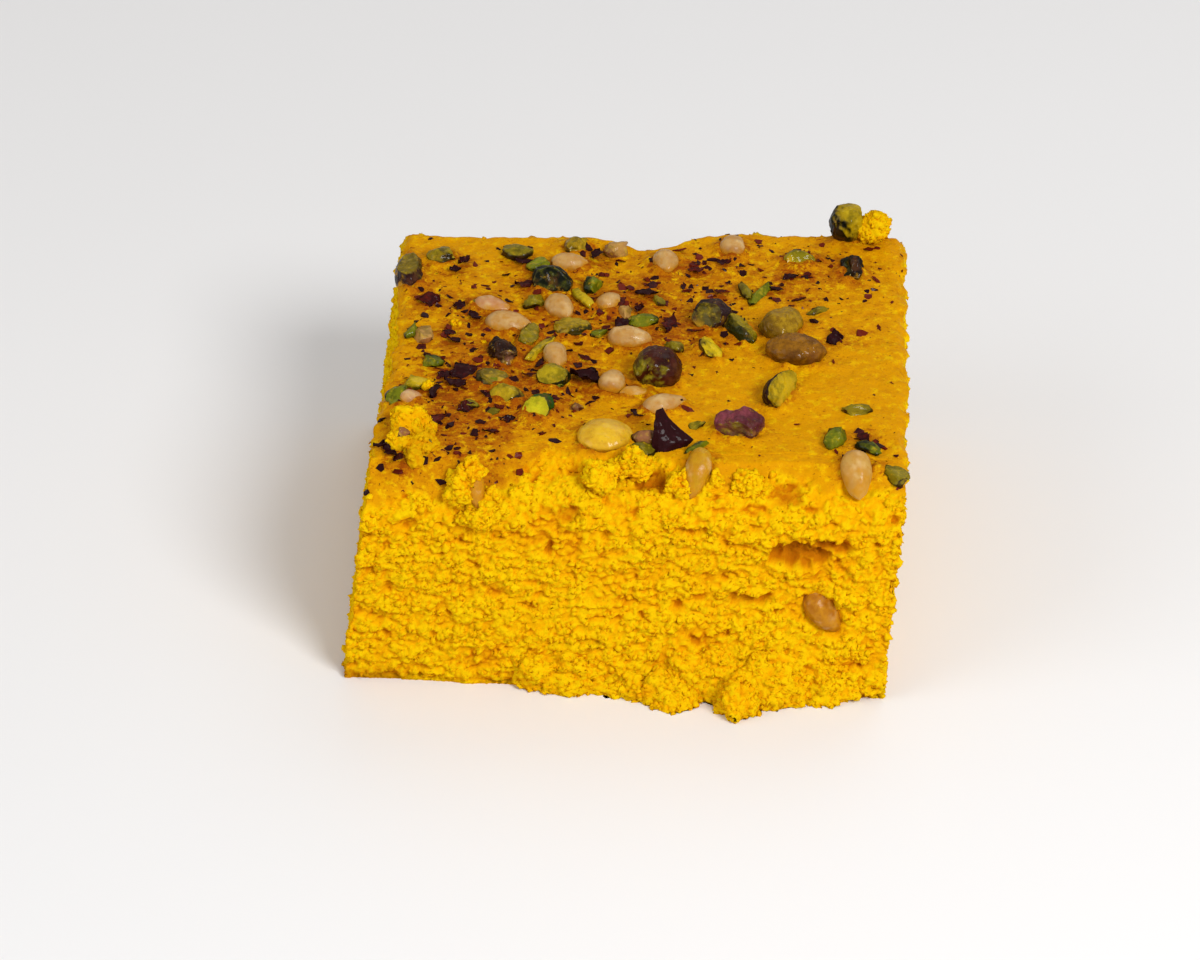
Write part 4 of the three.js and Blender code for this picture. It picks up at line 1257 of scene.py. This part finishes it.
class CAKE_OT_block(bpy.types.Operator):
    """Make the block of cake with its crumb, crust and torn front"""

    bl_idname = "cake.block"
    bl_label = "Block"

    def execute(self, context):
        sizes = context.scene.cake_sizes
        material = paints(context)["cake_finish"]
        for name, slab in (("cake_block", False), ("torn_front", True)):
            settle(make_block(sizes, name, material, slab), "cake", slot="cake_crumb")
        mesh = lump_group("edge_lumps", EDGE_LUMPS, 5)
        roughen(mesh, 1.0)
        set_attribute(mesh, "crumbs", [1.0] * len(mesh.vertices))
        finish_crumb(mesh, material)
        settle(link(mesh, "edge_lumps"), slot="cake_crumb")
        return {"FINISHED"}


class CAKE_OT_crumbs(bpy.types.Operator):
    """Scatter uneven crumbs over the torn front and the cut sides"""

    bl_idname = "cake.crumbs"
    bl_label = "Crumbs"

    def execute(self, context):
        sizes = context.scene.cake_sizes
        material = bpy.data.materials["cake_finish"]
        tree = scatter_tree("scattered_crumbs", "crumbs", flat=False)
        for ground, density in CRUMB_DENSITIES.items():
            piece = scatter(
                f"{ground}_crumbs", bpy.data.objects[ground], tree, Density=density,
                Smallest=sizes.crumb * 0.45, Largest=sizes.crumb * 1.7, Unevenness=0.5,
                Sink=0.25, Seed=sizes.seed, Material=material)
            shade_by_height(piece.data, bpy.data.objects[ground].data)
            paint_underside_shade(piece.data)
            finish_crumb(piece.data, material)
            settle(piece, slot="cake_crumb")
        return {"FINISHED"}


class CAKE_OT_crumb_lumps(bpy.types.Operator):
    """Make the lumps of crumb that lie on the crust"""

    bl_idname = "cake.crumb_lumps"
    bl_label = "Crumb lumps"

    def execute(self, context):
        material = bpy.data.materials["cake_finish"]
        height = context.scene.cake_sizes.height
        for name, lobes, node in (("loose_lump", LOOSE_LOBES, "crumb_lump_front_left"),
                                  ("back_lump", BACK_LOBES, "crumb_lump_back_right")):
            mesh = lump_group(name, lobes, 4)
            roughen(mesh, 0.75)
            points = read_points(mesh) - np.array(BLOCK_AT)
            rise = points[:, 2] - height
            # Painted shade on one side of the loose lump.
            side_shade = [0.4 * smoothstep(x - y, -0.0080, 0.0010) for x, y in points[:, :2]]
            set_attribute(mesh, "stain", side_shade if lobes is LOOSE_LOBES else [0.05] * len(points))
            set_attribute(mesh, "crumbs", np.clip(rise / 0.0020, 0.0, 1.0))
            finish_crumb(mesh, material)
            settle(link(mesh, name), node, slot="cake_crumb")
        return {"FINISHED"}


class CAKE_OT_pistachios(bpy.types.Operator):
    """Dress the whole, halved and chopped pistachios"""

    bl_idname = "cake.pistachios"
    bl_label = "Pistachios"

    def execute(self, context):
        material = paints(context)["pistachio_finish"]
        for name, look in PISTACHIO_LOOKS.items():
            slot = "pistachio_green"
            if name in BROWN_KERNELS:
                slot = "pistachio_brown"
            elif name in PURPLE_KERNELS:
                slot = "pistachio_purple"
            whole = name in BROWN_KERNELS
            piece = dress_nut(name, material, slot, levels=4 if whole else 3,
                              relief=0.0009 if name in RAGGED_KERNELS else 0.0003,
                              wrinkle=0.0002 if whole else 0.0003)
            color_kernel(piece.data, *look)
        return {"FINISHED"}


class CAKE_OT_pine_nuts(bpy.types.Operator):
    """Dress the pine nuts and the large glazed nut"""

    bl_idname = "cake.pine_nuts"
    bl_label = "Pine nuts"

    def execute(self, context):
        known = paints(context)
        for name in sorted(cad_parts):
            if name.startswith("pine_nut"):
                slot = "pine_nut_in_crumb" if name == "pine_nut_17" else "pine_nut"
                growth = PINE_NUT_SHARES.get(name, 0.99)
                shift = EDGE_PINE_NUTS.get(name, (0.0, 0.0, 0.0))
                piece = dress_nut(name, known["pine_nut_finish"], slot, growth=growth, shift=shift,
                                  relief=0.00016, soaked=0.35 if name in EDGE_PINE_NUTS else 1.0)
                set_color(piece.data, "skin", linear(PINE_NUT_LOOKS.get(name, PINE_NUT_CREAM)))
        dress_nut("glazed_nut", known["glazed_nut_finish"], "glazed_nut", levels=4, relief=0.0002)
        return {"FINISHED"}


class CAKE_OT_chips(bpy.types.Operator):
    """Place the small chips of nut"""

    bl_idname = "cake.chips"
    bl_label = "Chips of nut"

    def execute(self, context):
        height = context.scene.cake_sizes.height
        draw = Random(context.scene.cake_sizes.seed)
        material = paints(context)["pistachio_finish"]
        for kind, look in CHIP_LOOKS.items():
            bm = bmesh.new()
            for x, y, rise, size, turn, own in CHIPS:
                if own == kind:
                    tilt = draw.uniform(-18, 18)
                    add_placed(bm, chip_bmesh(size, draw), spot(x, y, rise, turn, tilt, height))
            mesh = bpy.data.meshes.new(f"chips_{kind}")
            bm.to_mesh(mesh)
            bm.free()
            shade_smooth(mesh)
            mesh.materials.append(material)
            set_attribute(mesh, "core", [0.5] * len(mesh.vertices))
            color_kernel(mesh, *look)
            slot = "pine_nut" if kind == "pale" else "pistachio_green"
            settle(link(mesh, f"chips_{kind}"), slot=slot)
        return {"FINISHED"}


class CAKE_OT_petals(bpy.types.Operator):
    """Place the dark petals and scatter the small flakes"""

    bl_idname = "cake.petals"
    bl_label = "Petals"

    def execute(self, context):
        sizes = context.scene.cake_sizes
        draw = Random(sizes.seed + 1)
        material = paints(context)["petal_finish"]
        bm = bmesh.new()
        for x, y, rise, length, width, turn in PETALS:
            tilt = draw.uniform(-25, 25)
            leaf = petal_bmesh(length, width, draw)
            add_placed(bm, leaf, spot(x, y, rise + 0.0003, turn, tilt, sizes.height))
        mesh = bpy.data.meshes.new("pressed_petals")
        bm.to_mesh(mesh)
        bm.free()
        shade_smooth(mesh)
        mesh.materials.append(material)
        settle(link(mesh, "pressed_petals"), slot="dark_petal")
        broad = np.array((1.40, 1.10, 1.05))
        dress_nut("tall_petal", material, "dark_petal", relief=0.0003, wrinkle=0.0003, growth=broad)
        tree = scatter_tree("scattered_flakes", "flakes", flat=True)
        for ground in ("cake_block", "torn_front"):
            piece = scatter(
                f"{ground}_flakes", bpy.data.objects[ground], tree, Density=3.0e5,
                Smallest=sizes.flake * 0.3, Largest=sizes.flake * 2.7, Unevenness=0.42,
                Sink=-0.02, Seed=sizes.seed + 3, Material=material)
            settle(piece, slot="dark_petal")
        return {"FINISHED"}


class CAKE_OT_studio(bpy.types.Operator):
    """Set up the pale floor, the soft lights and the camera"""

    bl_idname = "cake.studio"
    bl_label = "Studio"

    def execute(self, context):
        studio = context.scene.studio_settings
        mesh = bpy.data.meshes.new("floor")
        reach = 6.0
        corners = [(-reach, -reach, 0), (reach, -reach, 0), (reach, reach, 0), (-reach, reach, 0)]
        mesh.from_pydata(corners, [], [(0, 1, 2, 3)])
        mesh.materials.append(floor_paint())
        link(mesh, "floor")
        self.light(context, "key", (0.5, -0.7, 0.75), 0.45, studio.key)
        self.light(context, "fill", (-0.9, -0.5, 0.6), 0.9, studio.key * 0.36)
        self.light(context, "back", (0.3, 0.8, 1.0), 0.9, studio.key * 0.22)
        world = bpy.data.worlds.new("soft_room")
        world.use_nodes = True
        background = world.node_tree.nodes["Background"]
        background.inputs["Color"].default_value = (1.0, 0.985, 0.96, 1.0)
        background.inputs["Strength"].default_value = 0.42
        context.scene.world = world
        data = bpy.data.cameras.new("camera")
        data.lens = studio.lens
        data.sensor_width = 36.0
        data.clip_start = 0.05
        camera = bpy.data.objects.new("camera", data)
        camera.location = Vector(studio.camera) + BLOCK_AT
        facing = Vector(studio.target) - Vector(studio.camera)
        camera.rotation_euler = facing.to_track_quat("-Z", "Y").to_euler()
        context.scene.collection.objects.link(camera)
        context.scene.camera = camera
        context.scene.view_settings.view_transform = "Standard"
        return {"FINISHED"}

    def light(self, context, name, place, size, power):
        data = bpy.data.lights.new(name, "AREA")
        data.shape = "DISK"
        data.size = size
        data.energy = power
        lamp = bpy.data.objects.new(name, data)
        lamp.location = place
        lamp.rotation_euler = (Vector((0, 0, 0.02)) - lamp.location).to_track_quat("-Z", "Y").to_euler()
        context.scene.collection.objects.link(lamp)


class CAKE_PT_panel(bpy.types.Panel):
    """The cake's sizes, colours and steps"""

    bl_label = "Turmeric cake"
    bl_idname = "CAKE_PT_panel"
    bl_space_type = "VIEW_3D"
    bl_region_type = "UI"
    bl_category = "Cake"

    def draw(self, context):
        for group in (context.scene.cake_sizes, context.scene.cake_colors,
                      context.scene.studio_settings):
            column = self.layout.column(align=True)
            for name in group.bl_rna.properties.keys():
                if name not in ("rna_type", "name"):
                    column.prop(group, name)
        for step in STEPS:
            self.layout.operator(step.bl_idname)


STEPS = (
    CAKE_OT_block, CAKE_OT_crumb_lumps, CAKE_OT_crumbs, CAKE_OT_pistachios,
    CAKE_OT_pine_nuts, CAKE_OT_chips, CAKE_OT_petals, CAKE_OT_studio,
)
GROUPS = (CakeSizes, CakeColors, StudioSettings)


def register():
    for kind in (*GROUPS, *STEPS, CAKE_PT_panel):
        bpy.utils.register_class(kind)
    bpy.types.Scene.cake_sizes = PointerProperty(type=CakeSizes)
    bpy.types.Scene.cake_colors = PointerProperty(type=CakeColors)
    bpy.types.Scene.studio_settings = PointerProperty(type=StudioSettings)


def unregister():
    del bpy.types.Scene.studio_settings
    del bpy.types.Scene.cake_colors
    del bpy.types.Scene.cake_sizes
    for kind in reversed((*GROUPS, *STEPS, CAKE_PT_panel)):
        bpy.utils.unregister_class(kind)


def main():
    register()
    for step in STEPS:
        group, name = step.bl_idname.split(".")
        getattr(getattr(bpy.ops, group), name)()


if __name__ == "__main__":
    main()
